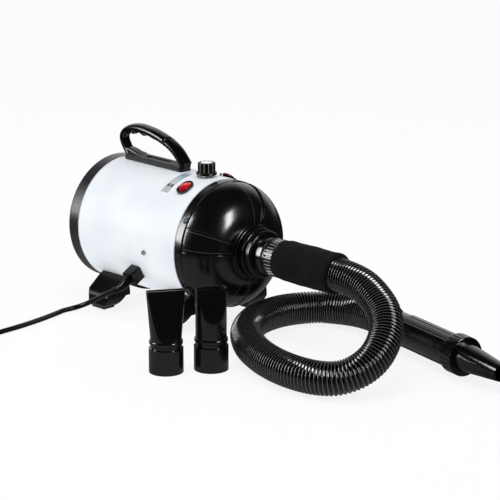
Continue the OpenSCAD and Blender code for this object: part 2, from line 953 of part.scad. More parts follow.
module knob_cap() {
  color("#e8e9ea")
    on_side(control_x, 0, knob_z + knob_h - cap_disc_t)
      difference() {
        cylinder(r1 = knob_r - 2.2 - run_gap, r2 = knob_r - 2.6, h = cap_disc_t + 0.4,
          $fn = 48);
        translate([-notch_w / 2, 2, cap_disc_t])
          cube([notch_w, knob_r, cut]);
      }
}

module potentiometer() {
  color("#7d8083") {
    difference() {
      union() {
        on_side(control_x, 0, pot_top - pot_t)
          cylinder(r = pot_r, h = pot_t, $fn = 48);
        on_side(control_x, 0, pot_top - cut)
          cylinder(r = bushing_r, h = knob_z + 4 - pot_top + cut, $fn = 32);
        for (y = [-5, 0, 5])
          on_side(control_x - pot_r - 4, 0, pot_top - pot_t + 2)
            translate([0, y - 1, 0])
              cube([6, 2, 0.8]);
      }
      on_side(control_x, 0, pot_top - pot_t + 4)
        cylinder(r = spindle_r + run_gap, h = 40, $fn = 32);
    }
    difference() {
      on_side(control_x, 0, barrel_r + 0.1)
        cylinder(r = bushing_r * 1.6, h = nut_t, $fn = 6);
      on_side(control_x, 0, barrel_r - cut)
        cylinder(r = bushing_r + run_gap, h = 6, $fn = 32);
    }
  }
}

module knob_spindle() {
  color("#b9bcc0")
    on_side(control_x, 0, pot_top - pot_t + 5)
      cylinder(r = spindle_r, h = knob_bore_end - pot_top + pot_t - 5.5, $fn = 32);
}

// An oval switch body in its cut-out; the pivot runs along the barrel
module rocker_switch(angle) {
  color("#111112")
    difference() {
      union() {
        on_side(control_x, angle, barrel_r - 3)
          linear_extrude(3 + bezel_h)
            slot_outline(bezel_l, bezel_w);
        on_side(control_x, angle, barrel_r - switch_depth)
          linear_extrude(switch_depth)
            slot_outline(window_l + 2 * switch_wall, window_w + 2 * switch_wall);
        for (y = [-6, 0, 6])
          on_side(control_x, angle, barrel_r - switch_depth - 7)
            translate([-2.4, y - 0.4, 0])
              cube([4.8, 0.8, 8]);
      }
      difference() {
        on_side(control_x, angle, barrel_r - 3.1)
          translate([0, 0, 1.6])
            cube([bezel_w + 2 * cut, bezel_l + 2 * cut, 3.2], center = true);
        on_side(control_x, angle, barrel_r - switch_depth)
          linear_extrude(switch_depth)
            slot_outline(window_l + 2 * switch_wall, window_w + 2 * switch_wall);
        turned()
          ring(barrel_r + run_gap, barrel_r + 20, rear_x, front_x);
      }
      on_side(control_x, angle, pivot_r - 4.5)
        linear_extrude(20)
          slot_outline(window_l, window_w);
      on_side(control_x, angle, pivot_r)
        rotate([0, 90, 0])
          cylinder(r = pivot_pin_r + run_gap, h = window_w + 2.2, center = true,
            $fn = 24);
    }
}

// The rocker rests tipped to its off side
module rocker(angle) {
  color("#c4101a")
    on_side(control_x, angle, pivot_r)
      rotate([-rocker_tilt, 0, 0]) {
        intersection() {
          translate([0, 0, -2])
            linear_extrude(rocker_top - pivot_r + 4)
              slot_outline(rocker_l, rocker_w);
          translate([0, 0, rocker_top - pivot_r - rocker_dome_r])
            sphere(r = rocker_dome_r, $fn = 96);
        }
        rotate([0, 90, 0])
          cylinder(r = pivot_pin_r, h = window_w + 1.6, center = true, $fn = 24);
      }
}

module heat_switch() {
  rocker_switch(-switch_angle);
}

module heat_rocker() {
  rocker(-switch_angle);
}

module power_switch() {
  rocker_switch(switch_angle);
}

module power_rocker() {
  rocker(switch_angle);
}

// ---- mains cord

module cord_gland() {
  color("#121213")
    difference() {
      union() {
        on_side(gland_x, gland_angle, barrel_r - 2)
          linear_extrude(gland_l + 2)
            soft_square(gland_w, gland_round);
        on_side(gland_x, gland_angle, inner_r - 8)
          cylinder(r = gland_stem_r, h = 10, $fn = 48);
        on_side(gland_x, gland_angle, inner_r - 6)
          cylinder(r = gland_stem_r * 1.6, h = 4, $fn = 6);
        on_side(gland_x, gland_angle, barrel_r + gland_l)
          cylinder(r1 = cord_r + 3.2, r2 = cord_r + 1.4, h = gland_neck_l, $fn = 32);
      }
      intersection() {
        turned()
          ring(0, barrel_r + run_gap, rear_x, front_x);
        on_side(gland_x, gland_angle, inner_r - 1.5)
          difference() {
            cylinder(r = gland_w, h = 10, $fn = 48);
            translate([0, 0, -cut])
              cylinder(r = gland_stem_r, h = 20, $fn = 48);
          }
      }
      for (step = [1 : 4])
        on_side(gland_x, gland_angle, barrel_r + 2 + step * gland_l / 6)
          difference() {
            cylinder(r = gland_w, h = 0.9, $fn = 48);
            translate([0, 0, -cut])
              linear_extrude(4)
                soft_square(gland_w - 1.2, gland_round);
          }
      on_side(gland_x, gland_angle, inner_r - 10)
        cylinder(r = cord_r - 0.4, h = 80, $fn = 32);
    }
}

cord_curve = smooth(cord_route, 8);
cord_tabs = tables(cord_curve);
cord_seen_l = curve_length(cord_curve);
gland_heading = unit(cord_exit - [gland_x, 0, axis_z]);

module mains_cord() {
  color("#0b0b0c")
    swept([
      for (i = [0 : cord_rings])
        let (s = cord_seen_l * i / cord_rings)
          ring_at(point_at(cord_tabs, s),
            i == 0 ? gland_heading
              : i == cord_rings ? [0, -1, 0]
              : heading_at(cord_tabs, s, cord_seen_l, 3),
            cord_r, cord_sides)
    ]);
}

// The stored length: in along the floor, up a layer at the inside, and out again on top
coil_in_l = cord_d;
coil_out_l = abs(plug_y - coil_entry_y) - coil_in_l;
coil_mean_r = (cord_l - cord_seen_l - coil_in_l - coil_out_l) / (2 * PI * coil_turns);
coil_r = coil_mean_r + coil_step * coil_turns / 4;
coil_low_z = cord_route[len(cord_route) - 1][2];
coil_centre = [cord_route[len(cord_route) - 1][0] - coil_r, coil_entry_y - coil_in_l];

function ease(t) = t <= 0 ? 0 : t >= 1 ? 1 : t * t * (3 - 2 * t);

// Point of the coil after a number of turns
function coil_point(turn) =
  let (
    half = coil_turns / 2,
    r = coil_r - coil_step * (turn < half ? turn : coil_turns - turn),
    z = coil_low_z + coil_rise * ease((turn - half + 0.25) * 2)
  )
    [coil_centre[0] + r * cos(360 * turn), coil_centre[1] - r * sin(360 * turn), z];

coil_loop = [for (i = [0 : coil_turns * coil_segments]) coil_point(i / coil_segments)];
coil_path = concat(
  [[coil_centre[0] + coil_r, coil_entry_y, coil_low_z]],
  coil_loop,
  [
    [coil_centre[0] + coil_r, coil_centre[1] - coil_out_l * 0.6,
      coil_low_z + coil_rise + 0.7 * (plug_z - coil_low_z - coil_rise)],
    [coil_centre[0] + coil_r, plug_y + cord_d, plug_z],
    [coil_centre[0] + coil_r, plug_y, plug_z]
  ]
);

module cord_coil() {
  count = len(coil_path);
  color("#0b0b0c")
    swept([
      for (i = [0 : count - 1])
        ring_at(coil_path[i],
          i == 0 || i == count - 1 ? [0, -1, 0]
            : unit(coil_path[i + 1] - coil_path[i - 1]),
          cord_r, coil_sides)
    ]);
}

// Places a shape at the plug, with its +Z running away from the cord
module at_plug() {
  translate([coil_centre[0] + coil_r, plug_y, plug_z])
    rotate([90, 0, 0])
      children();
}

module mains_plug() {
  color("#101011")
    at_plug()
      difference() {
        union() {
          cylinder(r1 = cord_r + 1, r2 = cord_r + 4, h = plug_neck_l, $fn = 32);
          translate([0, 0, plug_neck_l])
            cylinder(r = plug_r, h = plug_grip_l, $fn = 48);
          translate([0, 0, plug_neck_l + plug_grip_l])
            cylinder(r = plug_face_r, h = plug_face_l, $fn = 48);
        }
        plug_contacts(run_gap);
        for (side = [-1, 1], step = [0 : 3])
          translate([side * (plug_r + 1.6) - 2, -plug_r - 2,
            plug_neck_l + 3 + 4 * step])
            cube([4, 2 * plug_r + 4, 1.6]);
      }
}

// Two flat blades and a round pin, from their seats in the plug
module plug_contacts(grow) {
  for (side = [-1, 1])
    translate([side * blade_y - blade_t / 2 - grow, -1.15 - grow, plug_l - blade_sink])
      cube([blade_t + 2 * grow, blade_y + 2 * grow, blade_sink + 17]);
  translate([0, -pin_z, plug_l - blade_sink])
    cylinder(r = pin_r + grow, h = blade_sink + 18, $fn = 24);
}

module plug_pins() {
  color("#c9a44c")
    at_plug()
      plug_contacts(0);
}

// ---- cradles and feet

// Outline of a foot from the side: a shallow hull with a narrowed top
module foot_side(inset) {
  intersection() {
    translate([-foot_lean, pad_t + hull_r - hull_sink])
      circle(r = hull_r - inset, $fn = 96);
    polygon([
      [-foot_l / 2 + inset, pad_t + inset], [foot_l / 2 - inset, pad_t + inset],
      [foot_l / 2 - inset, foot_shoulder_h],
      [foot_l / 2 - foot_top_narrow - inset, foot_top_h],
      [-foot_l / 2 + foot_top_narrow + inset, foot_top_h],
      [-foot_l / 2 + inset, foot_shoulder_h]
    ]);
  }
  polygon([
    [-foot_l / 2 + inset, foot_edge_h], [foot_l / 2 - inset, foot_edge_h],
    [foot_l / 2 - inset, foot_shoulder_h],
    [foot_l / 2 - foot_top_narrow - inset, foot_top_h - inset],
    [-foot_l / 2 + foot_top_narrow + inset, foot_top_h - inset],
    [-foot_l / 2 + inset, foot_shoulder_h]
  ]);
}

// Outline of a foot from the end: an upright outer face and a top that slopes to the barrel
module foot_end(inset) {
  polygon([
    [foot_in - inset, foot_edge_h], [foot_in + foot_in_lift - inset, pad_t + inset],
    [foot_out - foot_chamfer, pad_t + inset],
    [foot_out - inset, pad_t + foot_chamfer], [foot_out - inset, foot_edge_h],
    [foot_out - foot_chamfer / 2 - inset, foot_shoulder_h - inset],
    [foot_top_out - inset, foot_top_h - inset], [foot_in - inset, foot_top_h - inset]
  ]);
}

// Plan of a foot, with its outer corners cut off
module foot_plan(inset) {
  half = foot_l / 2 - inset;
  corner = foot_corner - inset * 0.4;
  polygon([
    [-half, 0], [half, 0], [half, foot_out - inset - corner],
    [half - corner, foot_out - inset + cut], [corner / 2 - half, foot_out - inset + cut],
    [-half, foot_out - inset - corner / 2]
  ]);
}

module foot_block(inset) {
  intersection() {
    linear_extrude(foot_top_h + 1)
      foot_plan(inset);
    translate([0, foot_out + cut, 0])
      rotate([90, 0, 0])
        linear_extrude(foot_out - foot_in + 10)
          foot_side(inset);
    translate([-foot_l, 0, 0])
      rotate([90, 0, 90])
        linear_extrude(2 * foot_l)
          foot_end(inset);
  }
}

module cradle(x) {
  color("#141415")
    difference() {
      union() {
        turned(180, saddle_arc)
          ring(saddle_r, saddle_r + band_t, x - foot_l / 2 + foot_top_narrow,
            x + foot_l / 2 - foot_top_narrow);
        for (side = [0, 1])
          translate([x, 0, 0])
            mirror([0, side, 0])
              difference() {
                foot_block(0);
                translate([0, -cut, 0])
                  intersection() {
                    foot_block(foot_wall);
                    translate([-foot_l, 0, 0])
                      cube([2 * foot_l, foot_out, foot_shoulder_h]);
                  }
                translate([0, foot_out - foot_dimple_t, foot_dimple_z])
                  rotate([-90, 0, 0])
                    cylinder(r = foot_dimple_r, h = 2 * foot_dimple_t,
                      $fn = 32);
              }
      }
      along_axis(x - foot_l)
        cylinder(r = saddle_r, h = 2 * foot_l, $fn = turned_fn);
      screw_paths(screw_hole_r);
    }
}

module front_cradle() {
  cradle(cradle_x);
}

module rear_cradle() {
  cradle(-cradle_x);
}

module rubber_feet() {
  color("#26282a")
    for (x = [-cradle_x, cradle_x], side = [-1, 1])
      translate([x - foot_lean, side * (pad_in + foot_out - foot_chamfer) / 2, pad_t / 2])
        cube([foot_base_w - pad_inset, foot_out - foot_chamfer - pad_in - 2 * pad_inset,
          pad_t], center = true);
}

module cradle_screws() {
  color("silver")
    for (at = cradle_screws_at)
      on_side(at[0], at[1], saddle_r + band_t)
        screw(band_t + barrel_wall + 3);
}

// ---- fan and motor

module motor_plate() {
  color("#9da1a5")
    turned() {
      ring(liner_r - plate_t, liner_r, plate_x, plate_front);
      ring(plate_hole_r, liner_r, plate_front - plate_t, plate_front);
    }
}

module rear_rubber_mount() {
  color("#222325")
    turned()
      difference() {
        ring(fan_r - 12, fan_r, plate_front, fan_x);
        ring(fan_r - 7, fan_r - 5, plate_front + 1.5, fan_x - 1.5);
      }
}

module fan_case() {
  color("#c3c7ca")
    turned() {
      ring(eye_r, fan_r, fan_x, fan_x + fan_wall);
      ring(fan_r - fan_wall, fan_r, fan_x, frame_x + frame_t);
      ring(eye_r, eye_r + fan_wall, fan_x, impeller_x - 0.6);
    }
}

// One curved vane, as an arc that leans back from the hub to the rim
module vane_outline(r_in, r_out, lean_r) {
  intersection() {
    difference() {
      circle(r = r_out, $fn = 96);
      circle(r = r_in, $fn = 64);
    }
    translate([0, lean_r])
      difference() {
        circle(r = lean_r + vane_t / 2, $fn = 96);
        circle(r = lean_r - vane_t / 2, $fn = 96);
      }
    translate([0, -r_out])
      square([r_out, 2 * r_out]);
  }
}

module impeller() {
  color("#cfd3d6")
    difference() {
      union() {
        turned() {
          ring(eye_r, impeller_r, impeller_x, impeller_x + shroud_t);
          ring(0, impeller_r, impeller_x + impeller_l - shroud_t,
            impeller_x + impeller_l);
          ring(0, hub_r, impeller_x, impeller_x + impeller_l);
        }
        along_axis(impeller_x + shroud_t / 2)
          for (i = [0 : vane_count - 1])
            rotate([0, 0, i * 360 / vane_count])
              linear_extrude(impeller_l - shroud_t)
                vane_outline(eye_r + 1, impeller_r - 0.5, 48);
      }
      along_axis(impeller_x - cut)
        cylinder(r = shaft_r + 0.01, h = impeller_l + 2 * cut, $fn = 48);
    }
}

module fan_nut() {
  color("#8e9296")
    difference() {
      union() {
        along_axis(impeller_x - 6)
          cylinder(r = shaft_r + 3.5, h = 5, $fn = 6);
        along_axis(impeller_x - 1)
          cylinder(r = hub_r - 0.5, h = 1, $fn = 48);
      }
      along_axis(impeller_x - 10)
        cylinder(r = shaft_r + 0.01, h = 12, $fn = 48);
    }
}

module diffuser() {
  color("#b4b8bc") {
    turned()
      ring(shaft_r + 6, impeller_r + 1, diffuser_x, diffuser_x + 2);
    along_axis(diffuser_x + 1)
      for (i = [0 : vane_count])
        rotate([0, 0, i * 360 / (vane_count + 1)])
          linear_extrude(frame_x - diffuser_x - 1)
            vane_outline(housing_r + 6, impeller_r, 60);
  }
}

module motor_frame() {
  color("#30353b")
    difference() {
      union() {
        turned() {
          ring(0, fan_r - fan_wall - fit_gap, frame_x, frame_x + frame_t);
          ring(0, housing_r, frame_x, frame_x + bearing_l + 3);
          ring(0, field_r + fit_gap + leg_t, frame_front - frame_t, frame_front);
          ring(0, housing_r, frame_front - frame_t, housing_end);
        }
        for (a = [45 : 90 : 315])
          on_side(frame_x, a, field_r + fit_gap)
            translate([0, -leg_w / 2, 0])
              cube([leg_l, leg_w, leg_t]);
        for (a = [90, 270])
          on_side(commutator_x - 1, a, commutator_r + 2)
            translate([0, -brush_w / 2 - 2, 0])
              cube([frame_front - commutator_x, brush_w + 4, 18]);
      }
      for (a = [0 : 60 : 300])
        turned(a + 30, 34)
          ring(housing_r + 5, field_r - 4, frame_x - cut, frame_x + frame_t + cut);
      for (a = [0, 180])
        turned(a, 120)
          ring(housing_r + 5, field_r - 6, frame_front - frame_t - cut,
            frame_front + cut);
      turned() {
        ring(0, shaft_r + 3, frame_x - cut, housing_end + cut);
        ring(0, bearing_r + run_gap, frame_x + 3, frame_x + bearing_l + 4);
        ring(0, bearing_r + run_gap, front_bearing_x, housing_end + cut);
        ring(0, commutator_r + 1.5, commutator_x - 3, commutator_x + commutator_l + 2);
      }
      for (a = [90, 270])
        on_side(commutator_x + 1, a, commutator_r - cut)
          translate([0, -brush_w / 2 - 0.2, 0])
            cube([brush_t + 0.4, brush_w + 0.4, 30]);
    }
}

module pole_slots(grow) {
  for (a = [0, 180])
    turned(a, 60 + 2 * grow)
      ring(armature_r + 2 - grow, armature_r + 12 + grow, core_x - 8 * motor_k,
        core_x + core_run + 8 * motor_k);
}

module field_core() {
  color("#6e7277")
    difference() {
      turned()
        ring(armature_r + pole_gap, field_r, core_x, core_x + core_run);
      pole_slots(fit_gap);
    }
}

module field_windings() {
  color("#b5651d")
    pole_slots(0);
}

module armature() {
  color("#83878b")
    difference() {
      turned() {
        ring(shaft_r, armature_r, core_x, core_x + core_run);
        ring(shaft_r, armature_r - 4, core_x - 6 * motor_k, commutator_x - 2 * motor_k);
        ring(shaft_r, commutator_r, core_x, commutator_x);
      }
      for (a = [0 : 30 : 330])
        on_side(core_x - cut, a, armature_r - 1.2)
          translate([0, -1.2, 0])
            cube([core_run + 2 * cut, 2.4, 5]);
    }
}

module commutator() {
  color("#c98d4b")
    difference() {
      turned()
        ring(shaft_r, commutator_r, commutator_x, commutator_x + commutator_l);
      for (a = [0 : 30 : 330])
        on_side(commutator_x - cut, a, commutator_r - 0.8)
          translate([0, -0.25, 0])
            cube([commutator_l + 2 * cut, 0.5, 2]);
    }
}

module motor_shaft() {
  color("#c5c8cb")
    along_axis(impeller_x - 8)
      cylinder(r = shaft_r, h = front_bearing_x + bearing_l - impeller_x + 8, $fn = 48);
}

module motor_bearings() {
  color("#d4d7da")
    for (x = [frame_x + 3, front_bearing_x])
      turned()
        difference() {
          ring(shaft_r + run_gap, bearing_r, x, x + bearing_l);
          ring(shaft_r + 2.4, bearing_r - 2.4, x - cut, x + 0.6);
          ring(shaft_r + 2.4, bearing_r - 2.4, x + bearing_l - 0.6,
            x + bearing_l + cut);
        }
}

module carbon_brushes() {
  color("#2e2e30")
    for (a = [90, 270])
      on_side(commutator_x + 1.2, a, commutator_r + 0.3)
        translate([0, -brush_w / 2, 0])
          cube([brush_t, brush_w, 14]);
}

module front_rubber_mount() {
  color("#222325")
    turned() {
      ring(housing_r + 0.2, housing_r + 6, frame_front + 1, bracket_x);
      ring(housing_r - 5, housing_r + 6, bracket_x - 2, bracket_x);
    }
}

module motor_bracket() {
  color("#a9adb1")
    difference() {
      union() {
        turned()
          ring(bracket_hub_r - 15, bracket_hub_r, bracket_x, bracket_x + bracket_t);
        for (a = bracket_angles) {
          on_side(bracket_x, a, bracket_root_r)
            translate([0, -bracket_w / 2, 0])
              cube([bracket_t, bracket_w, liner_r - bracket_t - bracket_root_r]);
          turned(a, 2 * asin(bracket_w / 2 / liner_r))
            ring(liner_r - bracket_t, liner_r, bracket_screw_x - 8,
              bracket_x + bracket_t);
        }
      }
      for (a = bracket_angles)
        on_side(bracket_screw_x, a, liner_r - 8)
          cylinder(r = screw_r + run_gap, h = 12, $fn = 24);
    }
}

module sound_foam() {
  color("#4a4c50")
    difference() {
      turned()
        ring(fan_r + 4, liner_r, plate_front + fit_gap, foam_front);
      screw_paths(screw_head_r + 1);
    }
}

// ---- heater and control

module heat_shield() {
  color("#b9bcbf")
    turned() {
      ring(shield_r, shield_r + shield_wall, shield_x, shield_x + shield_l);
      ring(shield_r, neck_r - barrel_wall - fit_gap, flange_x, flange_x + shield_wall);
    }
}

// Two crossed mica boards, wide at their ends and narrow where the element is wound
module heater_frame() {
  narrow = element_r - wire_r - fit_gap;
  winding_l = element_pitch * element_turns + wire_d + 4;
  color("#c9b99a")
    for (a = [0, 90])
      translate([0, 0, axis_z])
        rotate([a, 0, 0])
          difference() {
            translate([shield_x + 2, -board_t / 2, -shield_r + fit_gap])
              cube([shield_l - 4, board_t, 2 * (shield_r - fit_gap)]);
            for (side = [0, 1])
              mirror([0, 0, side])
                translate([element_x - wire_r - 2, -cut, narrow])
                  cube([winding_l, 2 * cut, shield_r]);
            translate([shield_x + shield_l * a / 180, -cut, -board_t / 2])
              cube([shield_l / 2, 2 * cut, board_t]);
          }
}

element_sides = 6;
element_segments = 12;
function element_point(turn) = [
  element_x + element_pitch * turn,
  element_r * sin(360 * turn),
  axis_z + element_r * cos(360 * turn)
];

// Rings square to the winding, set out along the barrel and away from its axis
function element_ring(turn) =
  let (p = element_point(turn), out = unit([0, p[1], p[2] - axis_z])) [
    for (k = [0 : element_sides - 1])
      let (a = 360 * k / element_sides)
        p + wire_r * (cos(a) * out + sin(a) * [1, 0, 0])
  ];

module heater_element() {
  color("#8f8a86")
    swept([
      for (i = [0 : element_turns * element_segments])
        element_ring(i / element_segments)
    ]);
}

module thermal_cutout() {
  color("#d9dadb")
    on_side(shield_x + shield_l / 2 - 5, 180, shield_r + shield_wall + 0.1) {
      cylinder(r = 8, h = 2, $fn = 40);
      cylinder(r = 6.5, h = 8, $fn = 40);
      for (side = [-1, 1])
        translate([side * 3.5 - 1.5, -0.4, 7])
          cube([3, 0.8, 7]);
    }
}

module control_board() {
  color("#2f6b3c")
    translate([board_x, 0, axis_z + board_z]) {
      translate([0, -board_w / 2, 0])
        cube([board_l, board_w, board_sheet]);
      translate([sink_pitch, -3 * sink_pitch, board_sheet])
        cube([sink_l, 6 * sink_pitch, board_sheet]);
      for (i = [-3 : 2])
        translate([sink_pitch, (i + 0.4) * sink_pitch, board_sheet])
          cube([sink_l, sink_pitch / 3, sink_h]);
      for (x = [-1, 1], y = [-1, 1])
        translate([parts_x + x * (parts_r + 0.5), y * sink_pitch * 2, board_sheet / 2])
          cylinder(r = parts_r, h = sink_h - 3, $fn = 24);
    }
}

module board_pillars() {
  color("#ded9cc")
    intersection() {
      for (x = [5, board_l - 5], y = [-1, 1])
        translate([board_x + x, y * (board_w / 2 - 5), axis_z + board_z + board_sheet])
          cylinder(r = pillar_r, h = 40, $fn = 32);
      turned()
        ring(0, liner_r, board_x - 10, board_x + board_l + 10);
    }
}

// ---- hose and wand

module hose_cuff() {
  color("#1c1d1f")
    turned()
      difference() {
        union() {
          ring(0, socket_r - fit_gap, boss_x, collar_end_x);
          soft_ring(0, cuff_d / 2, collar_end_x, hose_x, 1);
        }
        ring(0, socket_r - 3, boss_x - cut, hose_x + cut);
      }
}

module cuff_ring() {
  color("#18191a")
    difference() {
      turned()
        difference() {
          ring(hose_r + fit_gap, knurl_d / 2, hose_x, sleeve_x);
          ring(knurl_d / 2 - knurl_groove, knurl_d, hose_x + knurl_plain - 2,
            hose_x + knurl_plain - 1);
        }
      for (i = [0 : knurl_count - 1])
        on_side(hose_x + knurl_plain, i * 360 / knurl_count, knurl_d / 2 - 0.9)
          translate([0, -0.9, 0])
            cube([knurl_l - knurl_plain - 1, 1.8, 3]);
    }
}

module foam_sleeve() {
  color("#17171a")
    turned()
      difference() {
        intersection() {
          soft_ring(0, sleeve_d / 2, sleeve_x - edge_round, sleeve_x + sleeve_l,
            edge_round);
          polygon([
            [0, sleeve_x], [knurl_d / 2, sleeve_x],
            [sleeve_d / 2, sleeve_x + sleeve_ease], [sleeve_d / 2, sleeve_x + sleeve_l],
            [0, sleeve_x + sleeve_l]
          ]);
        }
        ring(0, hose_r + fit_gap, sleeve_x - cut, sleeve_x + sleeve_l + cut);
      }
}

hose_sides = 8;
hose_curve = smooth(hose_route, 8);
hose_tabs = tables(hose_curve);
hose_l = curve_length(hose_curve);
rib_count = floor((hose_l - 2 * hose_d * 0.25) / rib_pitch);
rib_run = hose_l - rib_count * rib_pitch;
bore_rings = 44;
hose_heading_end = [cos(wand_turn), sin(wand_turn), 0];
function hose_heading(s) = s <= 1 ? [1, 0, 0] : s >= hose_l - 1 ? hose_heading_end
  : heading_at(hose_tabs, s, hose_l, 6);

module hose() {
  root_r = hose_r - rib_depth;
  outer = concat(
    [ring_at(point_at(hose_tabs, 0), hose_heading(0), root_r, hose_sides)],
    [
      for (i = [0 : 2 * rib_count])
        let (s = rib_run / 2 + i * rib_pitch / 2)
          ring_at(point_at(hose_tabs, s), hose_heading(s),
            i % 2 == 0 ? root_r : hose_r, hose_sides)
    ],
    [ring_at(point_at(hose_tabs, hose_l), hose_heading(hose_l), root_r, hose_sides)]
  );
  inner = [
    for (i = [0 : bore_rings])
      let (s = hose_l * i / bore_rings)
        ring_at(point_at(hose_tabs, s), hose_heading(s), root_r - hose_wall, hose_sides)
  ];
  color("#101012")
    swept_pipe(outer, inner);
}

// Draws on the wand's axis, from the hose's end, what is drawn along +Z
module on_wand(u = 0) {
  translate(wand_start)
    rotate([0, 0, wand_turn])
      translate([u, 0, 0])
        rotate([0, 90, 0])
          children();
}

// Turns a profile of [radius, distance from the hose's end] round the wand's axis
module wand_turned() {
  on_wand()
    rotate_extrude($fn = 72)
      children();
}

module wand() {
  color("#0d0d0e") {
    wand_turned()
      difference() {
        union() {
          soft_ring(0, wand_r + 1.6, 0, wand_tail_l, edge_round);
          ring(0, wand_r - 1.4, wand_tail_l, wand_step_l);
          soft_ring(0, wand_r, wand_step_l, wand_l, 1);
          ring(0, wand_r - 0.6, wand_l - cut, wand_l + wand_collar_l * 0.45);
        }
        ring(0, wand_r - 1.4 - wand_wall, -cut, wand_l + wand_collar_l);
      }
    for (i = [0 : 7])
      on_wand(wand_step_l + 6)
        rotate([0, 0, i * 45])
          translate([wand_r - 0.6, -1.2, 0])
            cube([1.3, 2.4, wand_l - wand_step_l - 16]);
  }
}

module wand_collar() {
  color("#121213")
    difference() {
      wand_turned()
        difference() {
          soft_ring(0, wand_collar_r, wand_l + 0.2, wand_l + wand_collar_l,
            edge_round);
          ring(0, wand_r - 0.6 + fit_gap, wand_l, wand_l + wand_collar_l + cut);
        }
      for (i = [0 : 23])
        on_wand(wand_l + 3)
          rotate([0, 0, i * 15])
            translate([wand_collar_r - 0.9, -1.1, 0])
              cube([3, 2.2, wand_collar_l - 8]);
    }
}

module cone_nozzle() {
  root = wand_l + wand_collar_l * 0.45 + fit_gap;
  tip = wand_l + wand_collar_l + cone_l;
  shoulder = wand_l + wand_collar_l + 3;
  color("#0e0e0f")
    wand_turned()
      difference() {
        union() {
          ring(0, wand_r - 0.6, root, shoulder - 3);
          ring(0, cone_root_r, shoulder - 4, shoulder);
          polygon([
            [0, shoulder - cut], [cone_root_r - 0.8, shoulder - cut],
            [cone_mouth_r, tip], [0, tip]
          ]);
        }
        polygon([
          [0, root - cut], [cone_root_r - 0.8 - cone_wall, root - cut],
          [cone_root_r - 0.8 - cone_wall, shoulder],
          [cone_mouth_r - cone_wall, tip + cut], [0, tip + cut]
        ]);
      }
}

// ---- loose nozzles

// The two slanted faces that flatten a nozzle to its mouth
module flat_sides(cut_h, body_r, mouth_t) {
  intersection_for(side = [-1, 1])
    rotate([90, 0, 90])
      translate([0, 0, -60])
        linear_extrude(120)
          polygon([
            [side * body_r, -cut], [side * body_r, cut_h],
            [side * (body_r - dish_in), cut_h + dish_h],
            [side * mouth_t / 2, nozzle_h], [side * mouth_t / 2, nozzle_h + cut],
            [-side * 60, nozzle_h + cut], [-side * 60, -cut]
          ]);
}

// A nozzle: socket, neck groove, bead and a body flattened to a slot
module slot_nozzle(body_r, mouth_w, cut_h, mouth_t) {
  bead_x = nozzle_socket_h + neck_h;
  body_x = bead_x + bead_h;
  difference() {
    union() {
      rotate_extrude($fn = 72) {
        ring(0, nozzle_r, 0, nozzle_socket_h);
        ring(0, nozzle_r - neck_groove, nozzle_socket_h, bead_x);
        soft_ring(0, nozzle_r - 0.6, bead_x, body_x, 2);
      }
      intersection() {
        translate([0, 0, body_x - 3])
          cylinder(r1 = body_r, r2 = mouth_w / 2, h = nozzle_h - body_x + 3,
            $fn = 72);
        flat_sides(cut_h, body_r, mouth_t);
      }
    }
    translate([0, 0, -cut])
      cylinder(r = nozzle_r - nozzle_wall, h = nozzle_socket_h - 2 + cut, $fn = 72);
    intersection() {
      translate([0, 0, nozzle_socket_h - 3])
        cylinder(r1 = body_r - nozzle_wall, r2 = mouth_w / 2 - nozzle_wall,
          h = nozzle_h - nozzle_socket_h + 4, $fn = 72);
      flat_sides(cut_h, body_r - nozzle_wall, mouth_t - 2 * nozzle_wall);
    }
  }
}

module wide_nozzle() {
  color("#0e0e0f")
    translate([wide_at[0], wide_at[1], 0])
      rotate([0, 0, nozzle_turn])
        slot_nozzle(wide_body_r, wide_mouth_w, wide_cut_h, wide_mouth_t);
}

module narrow_nozzle() {
  color("#0e0e0f")
    translate([narrow_at[0], narrow_at[1], 0])
      rotate([0, 0, nozzle_turn])
        slot_nozzle(narrow_mouth_w / 2, narrow_mouth_w, narrow_cut_h, narrow_mouth_t);
}

barrel();
rear_cap();
rear_grille();
filter_sponge();
front_dome();
outlet_collar();
dome_screws();
barrel_screws();
handle_base();
handle_grip();
handle_screws();
speed_knob();
knob_cap();
potentiometer();
knob_spindle();
heat_switch();
heat_rocker();
power_switch();
power_rocker();
cord_gland();
mains_cord();
cord_coil();
mains_plug();
plug_pins();
front_cradle();
rear_cradle();
rubber_feet();
cradle_screws();
motor_plate();
rear_rubber_mount();
fan_case();
impeller();
fan_nut();
diffuser();
motor_frame();
field_core();
field_windings();
armature();
commutator();
motor_shaft();
motor_bearings();
carbon_brushes();
front_rubber_mount();
motor_bracket();
sound_foam();
heat_shield();
heater_frame();
heater_element();
thermal_cutout();
control_board();
board_pillars();
hose_cuff();
cuff_ring();
foam_sleeve();
hose();
wand();
wand_collar();
cone_nozzle();
wide_nozzle();
narrow_nozzle();
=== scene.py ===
"""Looks of a pet dryer.

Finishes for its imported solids, and finer pieces in place of the soft and moulded ones.
"""

import sys

import logging
import math
from abc import ABC, abstractmethod
from dataclasses import dataclass
from enum import Enum
from typing import Any, ClassVar, Iterable, Iterator, Mapping, Sequence

import bpy
import numpy as np
from mathutils import Matrix, Vector


